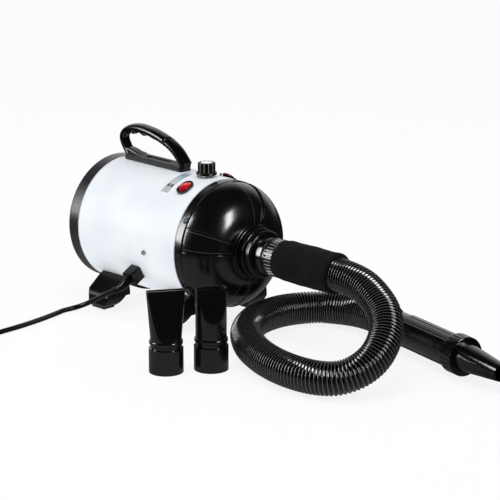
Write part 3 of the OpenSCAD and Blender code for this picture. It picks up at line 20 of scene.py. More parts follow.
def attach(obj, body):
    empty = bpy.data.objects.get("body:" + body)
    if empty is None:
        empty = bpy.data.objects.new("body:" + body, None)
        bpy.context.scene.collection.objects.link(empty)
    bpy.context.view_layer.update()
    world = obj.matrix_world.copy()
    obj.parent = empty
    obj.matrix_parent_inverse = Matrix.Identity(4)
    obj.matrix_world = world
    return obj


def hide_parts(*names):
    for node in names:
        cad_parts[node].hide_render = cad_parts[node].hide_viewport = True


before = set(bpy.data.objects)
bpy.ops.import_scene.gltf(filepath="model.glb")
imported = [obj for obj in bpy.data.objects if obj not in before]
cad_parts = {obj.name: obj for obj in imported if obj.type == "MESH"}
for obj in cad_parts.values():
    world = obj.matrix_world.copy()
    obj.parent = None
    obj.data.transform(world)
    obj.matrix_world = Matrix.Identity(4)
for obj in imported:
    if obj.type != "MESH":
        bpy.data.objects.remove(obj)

LOG = logging.getLogger("pet_dryer")
MACHINE = "machine"

# The barrel's axis runs along X at this height; lengths are in metres
AXIS_Z = 0.110
BARREL_R = 0.0875
# Room between the hose and what sits on it
HOSE_PLAY = 0.0003

Row = Sequence[float]
Sockets = Mapping[str | int, Any]


def toned(colour: Row, scale: float, lift: float = 0.0) -> tuple[float, ...]:
    """Returns a colour scaled, and lifted by the same amount in each channel."""
    return tuple(c * scale + lift for c in colour)


# ---------------------------------------------------------------- shader graph


class Term:
    """One output of a material's graph, with arithmetic that adds Math nodes."""

    def __init__(self, graph: "Graph", socket: bpy.types.NodeSocket | None) -> None:
        """Keeps the socket.

        Args:
            graph: The graph that the socket belongs to.
            socket: The output that this term stands for; an end node has none.
        """
        self.graph = graph
        self.socket = socket

    def _math(self, operation: str, *values: Any) -> "Term":
        """Adds one Math node.

        Args:
            operation: Blender's name of the operation.
            values: The node's inputs, in order.

        Returns:
            The node's output.
        """
        return self.graph.node(
            "ShaderNodeMath", {"operation": operation}, dict(enumerate(values))
        )

    def __add__(self, other: Any) -> "Term":
        """Returns self + other."""
        return self._math("ADD", self, other)

    def __radd__(self, other: Any) -> "Term":
        """Returns other + self."""
        return self._math("ADD", other, self)

    def __sub__(self, other: Any) -> "Term":
        """Returns self - other."""
        return self._math("SUBTRACT", self, other)

    def __rsub__(self, other: Any) -> "Term":
        """Returns other - self."""
        return self._math("SUBTRACT", other, self)

    def __mul__(self, other: Any) -> "Term":
        """Returns self * other."""
        return self._math("MULTIPLY", self, other)

    def __rmul__(self, other: Any) -> "Term":
        """Returns other * self."""
        return self._math("MULTIPLY", other, self)

    def __truediv__(self, other: Any) -> "Term":
        """Returns self / other."""
        return self._math("DIVIDE", self, other)

    def __rtruediv__(self, other: Any) -> "Term":
        """Returns other / self."""
        return self._math("DIVIDE", other, self)

    def __pow__(self, other: Any) -> "Term":
        """Returns self ** other."""
        return self._math("POWER", self, other)

    def __gt__(self, other: Any) -> "Term":
        """Returns 1 where self > other, else 0."""
        return self._math("GREATER_THAN", self, other)

    def __lt__(self, other: Any) -> "Term":
        """Returns 1 where self < other, else 0."""
        return self._math("LESS_THAN", self, other)

    def __abs__(self) -> "Term":
        """Returns |self|."""
        return self._math("ABSOLUTE", self)

    def angle_to(self, other: Any) -> "Term":
        """Returns atan2(self, other)."""
        return self._math("ARCTAN2", self, other)

    def step(self, low: float, high: float) -> "Term":
        """Rises smoothly from 0 at low to 1 at high.

        Args:
            low: Value where the rise starts.
            high: Value where it ends; below low, the term falls instead.

        Returns:
            A number from 0 to 1.
        """
        if low > high:
            return 1 - self.step(high, low)
        return self.graph.node(
            "ShaderNodeMapRange",
            {"interpolation_type": "SMOOTHSTEP"},
            {"Value": self, "From Min": low, "From Max": high},
        )

    def between(self, low: float, high: float, edge: float) -> "Term":
        """Is 1 between two values, with soft edges.

        Args:
            low: Lower value.
            high: Upper value.
            edge: Width of each soft edge.

        Returns:
            A number from 0 to 1.
        """
        return self.step(low - edge, low + edge) * self.step(high + edge, high - edge)


class Graph:
    """A material's node tree, filled one node at a time."""

    def __init__(self, name: str, tree: bpy.types.NodeTree | None = None) -> None:
        """Empties a node tree.

        Args:
            name: The material's name.
            tree: A tree to fill, or a new material's.
        """
        if tree is None:
            self.material = bpy.data.materials.new(name)
            self.material.use_nodes = True
            tree = self.material.node_tree
        self.tree = tree
        self.tree.nodes.clear()
        self._where: Term | None = None

    def node(
        self,
        kind: str,
        settings: Mapping[str, Any] | None = None,
        sockets: Sockets | None = None,
        output: str | int = 0,
    ) -> Term:
        """Adds any node.

        Args:
            kind: Blender's name of the node's type.
            settings: Its properties; "stops" holds a ramp's (place, colour) pairs.
            sockets: Values or terms for its inputs, by name or number.
            output: The output to return, by name or number.

        Returns:
            That output.
        """
        made = self.tree.nodes.new(kind)
        for key, value in (settings or {}).items():
            if key == "stops":
                self._fill_ramp(made.color_ramp, value)
            else:
                setattr(made, key, value)
        for key, value in (sockets or {}).items():
            socket = made.inputs[key]
            if isinstance(value, Term):
                self.tree.links.new(value.socket, socket)
            elif hasattr(socket.default_value, "__len__"):
                given = tuple(value) if hasattr(value, "__len__") else (value,) * 3
                size = len(socket.default_value)
                socket.default_value = given + (1.0,) * (size - len(given))
            else:
                socket.default_value = value
        return Term(self, made.outputs[output] if made.outputs else None)

    @staticmethod
    def _fill_ramp(
        ramp: bpy.types.ColorRamp, stops: Sequence[tuple[float, Row]]
    ) -> None:
        """Sets a ramp's stops.

        Args:
            ramp: The ramp.
            stops: Pairs of place and colour, in order.
        """
        while len(ramp.elements) < len(stops):
            ramp.elements.new(0.5)
        for element, (place, colour) in zip(ramp.elements, stops):
            element.position = place
            element.color = (*colour[:3], 1.0)

    @property
    def where(self) -> Term:
        """The point on the object, in metres, which stays with the piece as it moves."""
        if self._where is None:
            self._where = self.node("ShaderNodeTexCoord", output="Object")
        return self._where

    def axes(self, vector: Term | None = None) -> tuple[Term, Term, Term]:
        """Splits a vector.

        Args:
            vector: The vector, or the point on the object.

        Returns:
            Its x, y and z.
        """
        made = self.node("ShaderNodeSeparateXYZ", None, {0: vector or self.where})
        outputs = made.socket.node.outputs
        return Term(self, outputs[0]), Term(self, outputs[1]), Term(self, outputs[2])

    def rays(self) -> tuple[Term, Term]:
        """Returns 1 for a ray from the camera, and 1 for one from a glossy surface."""
        outputs = self.node("ShaderNodeLightPath").socket.node.outputs
        return Term(self, outputs["Is Camera Ray"]), Term(self, outputs["Is Glossy Ray"])

    def grey(self, level: Term) -> Term:
        """Returns a grey colour of a level that varies."""
        return self.vector(level, level, level)

    def vector(self, x: Any, y: Any, z: Any) -> Term:
        """Returns a vector of three numbers."""
        return self.node("ShaderNodeCombineXYZ", None, {0: x, 1: y, 2: z})

    def stretched(self, x: float, y: float, z: float) -> Term:
        """Returns the point on the object with its axes scaled."""
        sockets = {0: self.where, 1: (x, y, z)}
        return self.node("ShaderNodeVectorMath", {"operation": "MULTIPLY"}, sockets)

    def noise(
        self,
        size: float,
        detail: float = 3.0,
        rough: float = 0.5,
        at: Term | None = None,
    ) -> Term:
        """Adds cloudy noise.

        Args:
            size: Size of its features in metres.
            detail: Number of finer layers.
            rough: Share of the finer layers.
            at: Point to read it at, or the point on the object.

        Returns:
            A number around 0.5.
        """
        return self.node(
            "ShaderNodeTexNoise",
            None,
            {
                "Vector": at or self.where,
                "Scale": 1.0 / size,
                "Detail": detail,
                "Roughness": rough,
            },
        )

    def cells(self, size: float, feature: str = "F1", at: Term | None = None) -> Term:
        """Adds cell noise.

        Args:
            size: Size of a cell in metres.
            feature: Blender's name of the distance that it gives.
            at: Point to read it at, or the point on the object.

        Returns:
            The distance, in cells.
        """
        return self.node(
            "ShaderNodeTexVoronoi",
            {"feature": feature},
            {"Vector": at or self.where, "Scale": 1.0 / size},
            "Distance",
        )

    def mix(self, share: Any, first: Any, second: Any) -> Term:
        """Mixes two colours.

        Args:
            share: Share of the second.
            first: Colour at share 0.
            second: Colour at share 1.

        Returns:
            The mixed colour.
        """
        sockets = {0: share, 6: first, 7: second}
        return self.node("ShaderNodeMix", {"data_type": "RGBA"}, sockets, 2)

    def bump(self, height: Term, depth: float, under: Term | None = None) -> Term:
        """Turns a height into a normal.

        Args:
            height: Height from 0 to 1.
            depth: Depth of the relief in metres.
            under: A normal that this one adds to.

        Returns:
            The normal.
        """
        sockets: dict[str | int, Any] = {"Height": height, "Distance": depth, "Strength": 1.0}
        if under is not None:
            sockets["Normal"] = under
        return self.node("ShaderNodeBump", None, sockets)

    def finish(self, **sockets: Any) -> None:
        """Ends the graph in a Principled surface.

        Args:
            sockets: Its inputs, with spaces in their names written as underscores.
        """
        named = {key.replace("_", " "): value for key, value in sockets.items()}
        self.output(self.node("ShaderNodeBsdfPrincipled", None, named))

    def output(self, surface: Term) -> None:
        """Links a surface to the material's output."""
        self.node("ShaderNodeOutputMaterial", None, {"Surface": surface})


# ---------------------------------------------------------------- finishes


@dataclass(frozen=True)
class Finish(ABC):
    """A surface finish; one material is made for each and shared."""

    name: str
    _made: ClassVar[dict[str, bpy.types.Material]] = {}

    @abstractmethod
    def paint(self, g: Graph) -> None:
        """Fills the material's graph.

        Args:
            g: The graph.
        """

    def material(self) -> bpy.types.Material:
        """Returns the finish's material, made once."""
        if self.name not in Finish._made:
            graph = Graph(self.name)
            self.paint(graph)
            Finish._made[self.name] = graph.material
        return Finish._made[self.name]

    def dress(self, obj: bpy.types.Object) -> None:
        """Gives an object this finish in all its slots."""
        obj.data.materials.clear()
        obj.data.materials.append(self.material())


@dataclass(frozen=True)
class Moulded(Finish):
    """Moulded plastic or rubber, from gloss to textured.

    Sizes of marks and depths of relief are in metres; dust and scuff are shares. The painted
    highlight is a share too: a paler colour on the lines that a mesh marks as crests, standing
    in for light that catches them.
    """

    colour: Row = (0.0014, 0.0014, 0.0018)
    roughness: float = 0.16
    spread: float = 0.06
    grain: float = 0.0006
    relief: float = 0.000004
    ripple: float = 0.00004
    dust: float = 0.004
    scuff: float = 0.04
    shine: float = 0.9
    # Share of the painted highlight on marked crests, and where along the mark it starts
    painted_highlight: float = 0.0
    painted_highlight_from: float = 0.55
    flow_size: float = 0.035
    speck_size: float = 0.0045
    scratch_size: float = 0.003
    ripple_size: float = 0.011
    patch_size: float = 0.006

    def paint(self, g: Graph) -> None:
        """Fills the graph: moulding flow, grain, fine scuffs and dust on top, and what is laid
        over the colour, such as painted highlight lines.

        Args:
            g: The graph.
        """
        cloud = g.noise(self.flow_size, 4)
        fine = g.noise(self.grain, 2)
        upward = g.axes(g.node("ShaderNodeNewGeometry", output="Normal"))[2]
        patches = g.noise(0.012, 2).step(0.5, 0.62)
        specks = g.cells(self.speck_size).step(0.16, 0.02) * patches
        film = upward.step(0.2, 1.0) * cloud.step(0.35, 0.75)
        along = g.stretched(1.0, 0.12, 0.12)
        lines = g.noise(self.scratch_size, 2, 0.6, along).step(0.6, 0.72)
        pale = toned(self.colour, 0.55, 0.22)
        flow = cloud.step(0.3, 0.7) * 0.6
        colour = g.mix(flow, self.colour, toned(self.colour, 1.5, 0.0003))
        colour = g.mix((film * 0.6 + specks) * self.dust, colour, pale)
        colour = g.mix(lines * self.scuff * 0.03, colour, pale)
        rough = (
            self.roughness
            + self.spread * (cloud - 0.5)
            + lines * self.scuff
            + film * self.dust
            + specks * self.dust * 2
        )
        broad = g.bump(g.noise(self.ripple_size, 1), self.ripple)
        g.finish(
            Base_Color=self.overlaid(g, colour),
            Roughness=rough,
            Normal=g.bump(fine, self.relief, broad),
            IOR=1.5,
            Specular_IOR_Level=self.shine,
        )

    def overlaid(self, g: Graph, colour: Term) -> Term:
        """Returns the colour with a painted highlight, paler where the mesh is marked as a
        crest.

        Args:
            g: The graph.
            colour: Colour between the crests.

        Returns:
            The colour at each point.
        """
        if not self.painted_highlight:
            return colour
        # Painted highlight: a paler colour on marked crests, where light would catch them
        crest = g.node("ShaderNodeAttribute", {"attribute_name": "crest"}, output="Fac")
        patchy = 0.6 + 0.8 * g.noise(self.patch_size, 2)
        return g.mix(crest.step(self.painted_highlight_from, 1.0) * patchy, colour, (self.painted_highlight,) * 3)


@dataclass(frozen=True)
class PartingHighlight(Moulded):
    """A moulding with a pale painted highlight along the fine line where the two halves of its
    mould met.
    """

    start: Row = (0.300, 0.0943, 0.026)
    along: Row = (0.9735, -0.2288, 0.0)
    tilt: float = 53.0
    highlight_line_half: float = 0.0003
    # Colour of the painted highlight on the parting line
    line: Row = (0.20, 0.20, 0.21)

    def overlaid(self, g: Graph, colour: Term) -> Term:
        """Returns the colour with the painted highlight along the parting line.

        Args:
            g: The graph.
            colour: Colour beside the line.

        Returns:
            The colour at each point.
        """
        way = Vector(self.along)
        side = way.cross(Vector((0.0, 0.0, 1.0)))
        lean = math.radians(self.tilt)
        across = Vector((0.0, 0.0, math.cos(lean))) - side * math.sin(lean)
        sockets = {0: g.where, 1: tuple(across)}
        off = g.node("ShaderNodeVectorMath", {"operation": "DOT_PRODUCT"}, sockets, "Value")
        near = abs(off - across.dot(Vector(self.start)))
        line = near.step(self.highlight_line_half * 1.3, self.highlight_line_half * 0.7)
        return g.mix(line, colour, self.line)


@dataclass(frozen=True)
class Tipped(Moulded):
    """A moulding whose raised ends are black, where the grip's feet cover it."""

    above: float = 0.2057
    front_x: float = 0.0095
    tip: Row = (0.0016, 0.0016, 0.0019)

    def overlaid(self, g: Graph, colour: Term) -> Term:
        """Returns the colour, black on the ends.

        Args:
            g: The graph.
            colour: Colour between the ends.

        Returns:
            The colour at each point.
        """
        x, _, z = g.axes()
        between = (z < self.above) * (x < self.front_x)
        return g.mix(between, self.tip, colour)


@dataclass(frozen=True)
class Enamel(Finish):
    """White paint on sheet steel, with a printed silver scale beside the switches; the band's
    gradient across its angle is a painted reflection.
    """

    colour: Row = (0.80, 0.835, 0.865)
    shade: Row = (0.74, 0.785, 0.83)
    scale_from: float = 0.022
    scale_to: float = 0.0362
    scale_half_angle: float = 37.0
    tick_angle: float = 28.0
    tick_near: float = 0.0013
    tick_far: float = 0.0048
    cloud_size: float = 0.05
    hair_size: float = 0.0009
    speck_size: float = 0.006
    peel_size: float = 0.0022
    peel_depth: float = 0.000006
    joint_from: float = -0.1085
    joint_to: float = 0.0835
    joint_edge: float = 0.0006
    joint_colour: Row = (0.30, 0.32, 0.35)
    ink: Row = (0.02, 0.02, 0.025)
    speck: Row = (0.45, 0.44, 0.42)
    brushed: Row = (0.70, 0.72, 0.74)
    # Colour across the silver band from its top outwards: the silver print, with a painted
    # reflection as its gradient
    silver_print_and_reflection: tuple[tuple[float, Row], ...] = (
        (0.0, (0.80, 0.81, 0.85)),
        (0.10, (0.62, 0.62, 0.74)),
        (0.24, (0.20, 0.27, 0.42)),
        (0.42, (0.34, 0.45, 0.52)),
        (0.62, (0.52, 0.56, 0.58)),
        (1.0, (0.42, 0.44, 0.45)),
    )

    def paint(self, g: Graph) -> None:
        """Fills the graph: paint, orange peel, and the scale's band with its ticks and its
        painted reflection.

        Args:
            g: The graph.
        """
        x, y, z = g.axes()
        turn = abs(y.angle_to(z - AXIS_Z)) * (180.0 / math.pi)
        cloud = g.noise(self.cloud_size, 3)
        paint = g.mix(cloud.step(0.3, 0.7), self.colour, self.shade)
        joint = 1 - x.between(self.joint_from, self.joint_to, self.joint_edge)
        paint = g.mix(joint * 0.55, paint, self.joint_colour)
        middle = (self.scale_from + self.scale_to) / 2
        half = (self.scale_to - self.scale_from) / 2
        printed = (abs(x - middle) < half) * (turn < self.scale_half_angle)
        place = {0: turn / self.scale_half_angle}
        silver_print_and_reflection = g.node("ShaderNodeValToRGB", {"stops": self.silver_print_and_reflection}, place)
        hairs = g.noise(self.hair_size, 2, 0.5, g.stretched(1.0, 0.05, 0.05))
        silver_print_and_reflection = g.mix(hairs * 0.25, silver_print_and_reflection, self.brushed)
        ticks = self._ticks(x, turn, middle)
        silver_print_and_reflection = g.mix(ticks, silver_print_and_reflection, self.ink)
        patches = g.noise(0.03, 2).step(0.52, 0.62)
        specks = g.cells(self.speck_size).step(0.09, 0.02) * patches
        colour = g.mix(printed, paint, silver_print_and_reflection)
        colour = g.mix(specks * 0.12, colour, self.speck)
        g.finish(
            Base_Color=colour,
            Roughness=0.34 + 0.08 * (cloud - 0.5) - 0.08 * printed,
            Metallic=printed * 0.1 * (1 - ticks),
            Specular_IOR_Level=0.08,
            Coat_Weight=0.03,
            Coat_Roughness=0.2,
            Normal=g.bump(g.noise(self.peel_size, 2), self.peel_depth),
        )

    def _ticks(self, x: Term, turn: Term, middle: float) -> Term:
        """Returns the mask of two short marks on the scale.

        Args:
            x: Place along the barrel.
            turn: Angle from the barrel's top, in degrees.
            middle: Middle of the scale along the barrel.

        Returns:
            1 on a mark and 0 beside it.
        """
        near, far, edge = self.tick_near, self.tick_far, 0.0001
        first = x.between(middle - far, middle - near, edge)
        second = x.between(middle + near, middle + far, edge)
        bars = turn.between(self.tick_angle - 2.0, self.tick_angle + 2.0, 0.1)
        return ((first + second) * bars).step(0.2, 0.8)


@dataclass(frozen=True)
class Metal(Finish):
    """Bare or plated metal, brushed along or round one axis."""

    colour: Row = (0.62, 0.64, 0.66)
    roughness: float = 0.32
    brush: Row = (1.0, 0.06, 1.0)
    tarnish: float = 0.15
    purity: float = 1.0
    hair_size: float = 0.0007
    hair_depth: float = 0.000005
    patch_size: float = 0.012

    def paint(self, g: Graph) -> None:
        """Fills the graph: brushing, and dull patches.

        Args:
            g: The graph.
        """
        lines = g.noise(self.hair_size, 3, 0.6, g.stretched(*self.brush))
        patch = g.noise(self.patch_size, 4).step(0.45, 0.75)
        dull = toned(self.colour, 0.55)
        tone = g.mix(patch * self.tarnish + lines * 0.1, self.colour, dull)
        g.finish(
            Base_Color=self.marked(g, tone),
            Metallic=self.purity,
            Roughness=self.roughness + 0.12 * (lines - 0.5) + patch * 0.1,
            Normal=g.bump(lines, self.hair_depth),
        )

    def marked(self, g: Graph, tone: Term) -> Term:
        """Returns the metal's colour with what is printed on it.

        Args:
            g: The graph.
            tone: The bare metal's colour.

        Returns:
            The colour at each point.
        """
        return tone


@dataclass(frozen=True)
class Disc(Metal):
    """A bright disc with a black rim, round an upright axis."""

    centre: tuple[float, float] = (0.0, 0.0)
    rim_from: float = 0.0077
    rim_edge: float = 0.0002
    rim: Row = (0.004, 0.004, 0.005)

    def marked(self, g: Graph, tone: Term) -> Term:
        """Returns the disc's colour, black from the rim's inner edge.

        Args:
            g: The graph.
            tone: The bare metal's colour.

        Returns:
            The colour at each point.
        """
        x, y, _ = g.axes()
        away = ((x - self.centre[0]) ** 2 + (y - self.centre[1]) ** 2) ** 0.5
        rim = away.step(self.rim_from - self.rim_edge, self.rim_from + self.rim_edge)
        return g.mix(rim, tone, self.rim)


@dataclass(frozen=True)
class Lens(Finish):
    """A red lens that a small lamp lights from behind."""

    pivot: tuple[float, float] = (0.057, 0.03904)
    colour: Row = (0.30, 0.004, 0.008)
    glow: float = 0.75
    spot: Row = (1.9, 0.42, 0.16)
    lit: Row = (0.50, 0.002, 0.006)
    dark: Row = (0.20, 0.0, 0.002)
    spot_r: float = 0.0026
    rim_from: float = 0.0055
    rim_to: float = 0.0095
    prism_size: float = 0.0011
    wave_size: float = 0.0016
    wave_depth: float = 0.00001

    def paint(self, g: Graph) -> None:
        """Fills the graph: the lamp's bright spot, moulded prisms, a clear skin and painted
        shade towards the rim.

        Args:
            g: The graph.
        """
        x, y, _ = g.axes()
        side = abs(y) - self.pivot[1]
        across = ((x - self.pivot[0]) ** 2 + side**2) ** 0.5
        spot = across.step(self.spot_r, 0.0004)
        prisms = g.cells(self.prism_size).step(0.1, 0.6)
        # Rim: from the middle outwards, where the base colour gets painted shade and the
        # lamp's glow fades
        rim = across.step(self.rim_from, self.rim_to)
        colour = g.mix(rim * 0.8, self.colour, toned(self.colour, 0.35))
        light = g.mix(spot, self.lit, self.spot)
        dim = g.mix(prisms * 0.35 + rim * 0.5, light, self.dark)
        g.finish(
            Base_Color=colour,
            Roughness=0.12 + 0.1 * g.noise(0.004, 2),
            Coat_Weight=0.6,
            Coat_Roughness=0.05,
            Emission_Color=dim,
            Emission_Strength=self.glow,
            Normal=g.bump(g.noise(self.wave_size, 1), self.wave_depth),
        )


@dataclass(frozen=True)
class Foam(Finish):
    """Foam: closed cells with a fine skin, or open cells with deep pores."""

    colour: Row = (0.0040, 0.0036, 0.0043)
    cell: float = 0.0011
    pore_depth: float = 0.00025
    roughness: float = 0.92
    sheen: float = 0.02
    cloud_size: float = 0.02
    weave_size: float = 0.006

    def paint(self, g: Graph) -> None:
        """Fills the graph: pores of two sizes, painted shade in their hollows, and a faint
        mottle.

        Args:
            g: The graph.
        """
        pores = g.cells(self.cell, "DISTANCE_TO_EDGE").step(0.0, 0.28)
        small = g.cells(self.cell * 0.45).step(0.1, 0.6)
        cloud = g.noise(self.cloud_size, 3)
        weave = g.noise(self.weave_size, 2, 0.5, g.stretched(0.4, 1.0, 1.0))
        light = toned(self.colour, 1.5, 0.0006)
        colour = g.mix(cloud.step(0.35, 0.7) * 0.7, self.colour, light)
        # Painted shade: the colour darkens where the pores' relief is low
        hollow_shade = (1 - pores) * 0.6 + (1 - small) * 0.3
        colour = g.mix(hollow_shade, colour, toned(self.colour, 0.45))
        height = pores * 0.6 + small * 0.25 + weave * 0.4
        g.finish(
            Base_Color=colour,
            Roughness=self.roughness - 0.08 * cloud,
            Sheen_Weight=self.sheen,
            Sheen_Roughness=0.4,
            Specular_IOR_Level=0.2,
            Normal=g.bump(height, self.pore_depth),
        )


@dataclass(frozen=True)
class Sheet(Finish):
    """A plain technical material, such as mica, nylon or epoxy board."""

    colour: Row = (0.6, 0.52, 0.4)
    fleck: Row = (0.75, 0.68, 0.55)
    fleck_size: float = 0.003
    fleck_depth: float = 0.00002
    cloud_size: float = 0.02
    roughness: float = 0.5

    def paint(self, g: Graph) -> None:
        """Fills the graph: flecks and a faint cloud.

        Args:
            g: The graph.
        """
        flecks = g.cells(self.fleck_size).step(0.5, 0.1)
        cloud = g.noise(self.cloud_size, 4)
        colour = g.mix(flecks * 0.5, self.colour, self.fleck)
        shade = toned(self.colour, 0.7)
        g.finish(
            Base_Color=g.mix(cloud.step(0.4, 0.7) * 0.4, colour, shade),
            Roughness=self.roughness + 0.15 * (cloud - 0.5),
            Normal=g.bump(flecks, self.fleck_depth),
        )


@dataclass(frozen=True)
class Floor(Finish):
    """A white table that keeps a soft shadow and stays white to the camera.

    Keep is the share of real shading that the camera sees. Mirror is how bright the table
    shows in what is glossy, inside a zone given by its middle and its inner and outer radius.
    Bounce is the light that it gives to what is matt, and lift the share without shading.
    """

    colour: Row = (0.93, 0.93, 0.93)
    keep: float = 0.15
    mirror: float = 0.21
    zone: tuple[float, float, float, float] = (0.10, -0.12, 0.30, 0.52)
    lift: float = 0.88
    bounce: float = 1.59

    def paint(self, g: Graph) -> None:
        """Fills the graph: a white diffuse table, lifted for what the camera sees.

        Args:
            g: The graph.
        """
        cloud = g.noise(0.4, 3)
        base = g.mix(cloud * 0.15, self.colour, toned(self.colour, 0.99))
        table = g.node("ShaderNodeBsdfDiffuse", None, {"Color": base})
        camera, glossy = g.rays()
        x, y, _ = g.axes()
        middle_x, middle_y, near, far = self.zone
        away = ((x - middle_x) ** 2 + (y - middle_y) ** 2) ** 0.5
        mirror = glossy * away.step(far, near) * self.mirror
        level = camera + (1 - camera) * (mirror + (1 - glossy) * self.bounce)
        glow = g.node("ShaderNodeEmission", None, {"Color": g.grey(level), "Strength": 1.0})
        lifted = glossy + (1 - glossy) * self.lift
        share = camera * (1 - self.keep) + (1 - camera) * lifted
        g.output(g.node("ShaderNodeMixShader", None, {0: share, 1: table, 2: glow}))


GLOSS = Moulded("gloss_black_moulding")
# The dome's finish paints pale highlight lines where the shell is marked beside its segments
DOME_GLOSS = Moulded(
    "dome_gloss_black",
    roughness=0.2,
    spread=0.04,
    ripple=0.00003,
    dust=0.003,
    painted_highlight=0.07,
)
SATIN = Moulded(
    "satin_black_moulding",
    colour=(0.0022, 0.0022, 0.0028),
    roughness=0.22,
    grain=0.0008,
    relief=0.00001,
    shine=0.2,
)
RING = Moulded(
    "ring_black_moulding",
    colour=(0.016, 0.016, 0.018),
    roughness=0.27,
    grain=0.0008,
    relief=0.00001,
    shine=0.7,
)
STRIP = Tipped(
    "strip_grey_moulding",
    colour=(0.024, 0.024, 0.027),
    roughness=0.36,
    grain=0.0008,
    relief=0.00001,
    shine=0.35,
)
KNURL = Moulded(
    "knurl_black_moulding", colour=(0.004, 0.004, 0.0045), roughness=0.22, shine=1.0
)
# The knob's finish paints pale highlight dashes on the lands between its flutes
KNOB_SKIN = Moulded(
    "knob_black_moulding", roughness=0.3, relief=0.000002, shine=0.4, painted_highlight=0.27
)
GRIP = Moulded(
    "grip_black_moulding", roughness=0.2, relief=0.000001, ripple=0.00001, shine=0.55
)
WAND_SKIN = PartingHighlight("wand_black_moulding")
# The hose's rib crests carry a painted highlight: pale lines that stand in for light on each
# rib
HOSE_SKIN = Moulded(
    "hose_black_skin",
    colour=(0.0010, 0.0010, 0.0013),
    roughness=0.13,
    spread=0.03,
    grain=0.0004,
    ripple=0.00001,
    dust=0.002,
    shine=1.0,
    painted_highlight=0.048,
    painted_highlight_from=0.8,
)
CORD_SKIN = Moulded(
    "cord_black_rubber",
    colour=(0.0010, 0.0010, 0.0012),
    roughness=0.24,
    grain=0.0003,
    ripple=0.00001,
    shine=0.35,
)
PAD_RUBBER = Moulded(
    "pad_black_rubber",
    colour=(0.010, 0.010, 0.011),
    roughness=0.75,
    grain=0.0005,
    relief=0.00004,
)
CARBON = Moulded("carbon_block", colour=(0.02, 0.02, 0.021), roughness=0.6, relief=2e-5)
PAINT = Enamel("white_enamel")
ZINC = Metal("zinc_plate")
BLACKENED = Metal("blackened_steel", colour=(0.055, 0.055, 0.06), roughness=0.30)
STEEL = Metal("ground_steel", colour=(0.46, 0.47, 0.49), roughness=0.28)
ALLOY = Metal("pressed_alloy", colour=(0.72, 0.74, 0.76), roughness=0.34)
CAP_ALLOY = Disc(
    "spun_alloy_cap",
    colour=(0.88, 0.89, 0.90),
    roughness=0.3,
    tarnish=0.05,
    purity=0.1,
    centre=(0.057, 0.0),
)
BRASS = Metal("brass_contact", colour=(0.80, 0.62, 0.30), roughness=0.25)
COPPER = Metal("copper_winding", colour=(0.72, 0.36, 0.20), roughness=0.3)
NICKEL = Metal("resistance_wire", colour=(0.40, 0.38, 0.36), roughness=0.45)
RED = Lens("red_lens")
# The unlit lens: its base colour, darker than the lit one's, is painted shade, and its faint
# glow is painted light
UNLIT_SHADED_RED = Lens("unlit_shaded_red_lens", colour=(0.20, 0.004, 0.012), glow=0.03)
SLEEVE_FOAM = Foam("sleeve_black_foam")
SPONGE_FOAM = Foam(
    "filter_grey_sponge", colour=(0.05, 0.053, 0.058), cell=0.0022, pore_depth=0.001
)
LINER_FOAM = Foam(
    "liner_grey_foam", colour=(0.07, 0.074, 0.08), cell=0.0016, pore_depth=0.0006
)
MICA = Sheet("mica_board")
BOARD = Sheet(
    "green_circuit_board",
    colour=(0.03, 0.17, 0.07),
    fleck=(0.45, 0.42, 0.30),
    fleck_size=0.0025,
    roughness=0.35,
)
NYLON = Sheet(
    "natural_nylon", colour=(0.76, 0.74, 0.66), fleck=(0.8, 0.79, 0.74), roughness=0.45
)
TABLE = Floor("white_table")


# ---------------------------------------------------------------- meshes


def eased(t: Any) -> Any:
    """Returns a smooth rise from 0 to 1 while t goes from 0 to 1."""
    t = np.clip(t, 0.0, 1.0)
    return t * t * (3 - 2 * t)


def unit(v: np.ndarray) -> np.ndarray:
    """Returns vectors of length 1 in the same directions."""
    return v / np.maximum(np.linalg.norm(v, axis=-1, keepdims=True), 1e-12)


def round_angles(sides: int, shift: float = 0.0) -> np.ndarray:
    """Returns the angles of points spread evenly round a ring, in radians."""
    return 2 * np.pi * (np.arange(sides) + shift) / sides


def degrees_from(angles: np.ndarray, middle: float) -> np.ndarray:
    """Returns how far angles in radians lie from a middle in degrees, -180 to 180."""
    return (np.degrees(angles) - middle + 180) % 360 - 180


def squared(angles: np.ndarray, power: float) -> tuple[np.ndarray, np.ndarray]:
    """Finds the points of a rounded square of half width 1.

    Args:
        angles: Angles of its points.
        power: 1 for a circle, and less for a squarer form.

    Returns:
        The points' reach sideways, and upwards.
    """
    c, s = np.cos(angles), np.sin(angles)
    return np.sign(c) * np.abs(c) ** power, np.sign(s) * np.abs(s) ** power


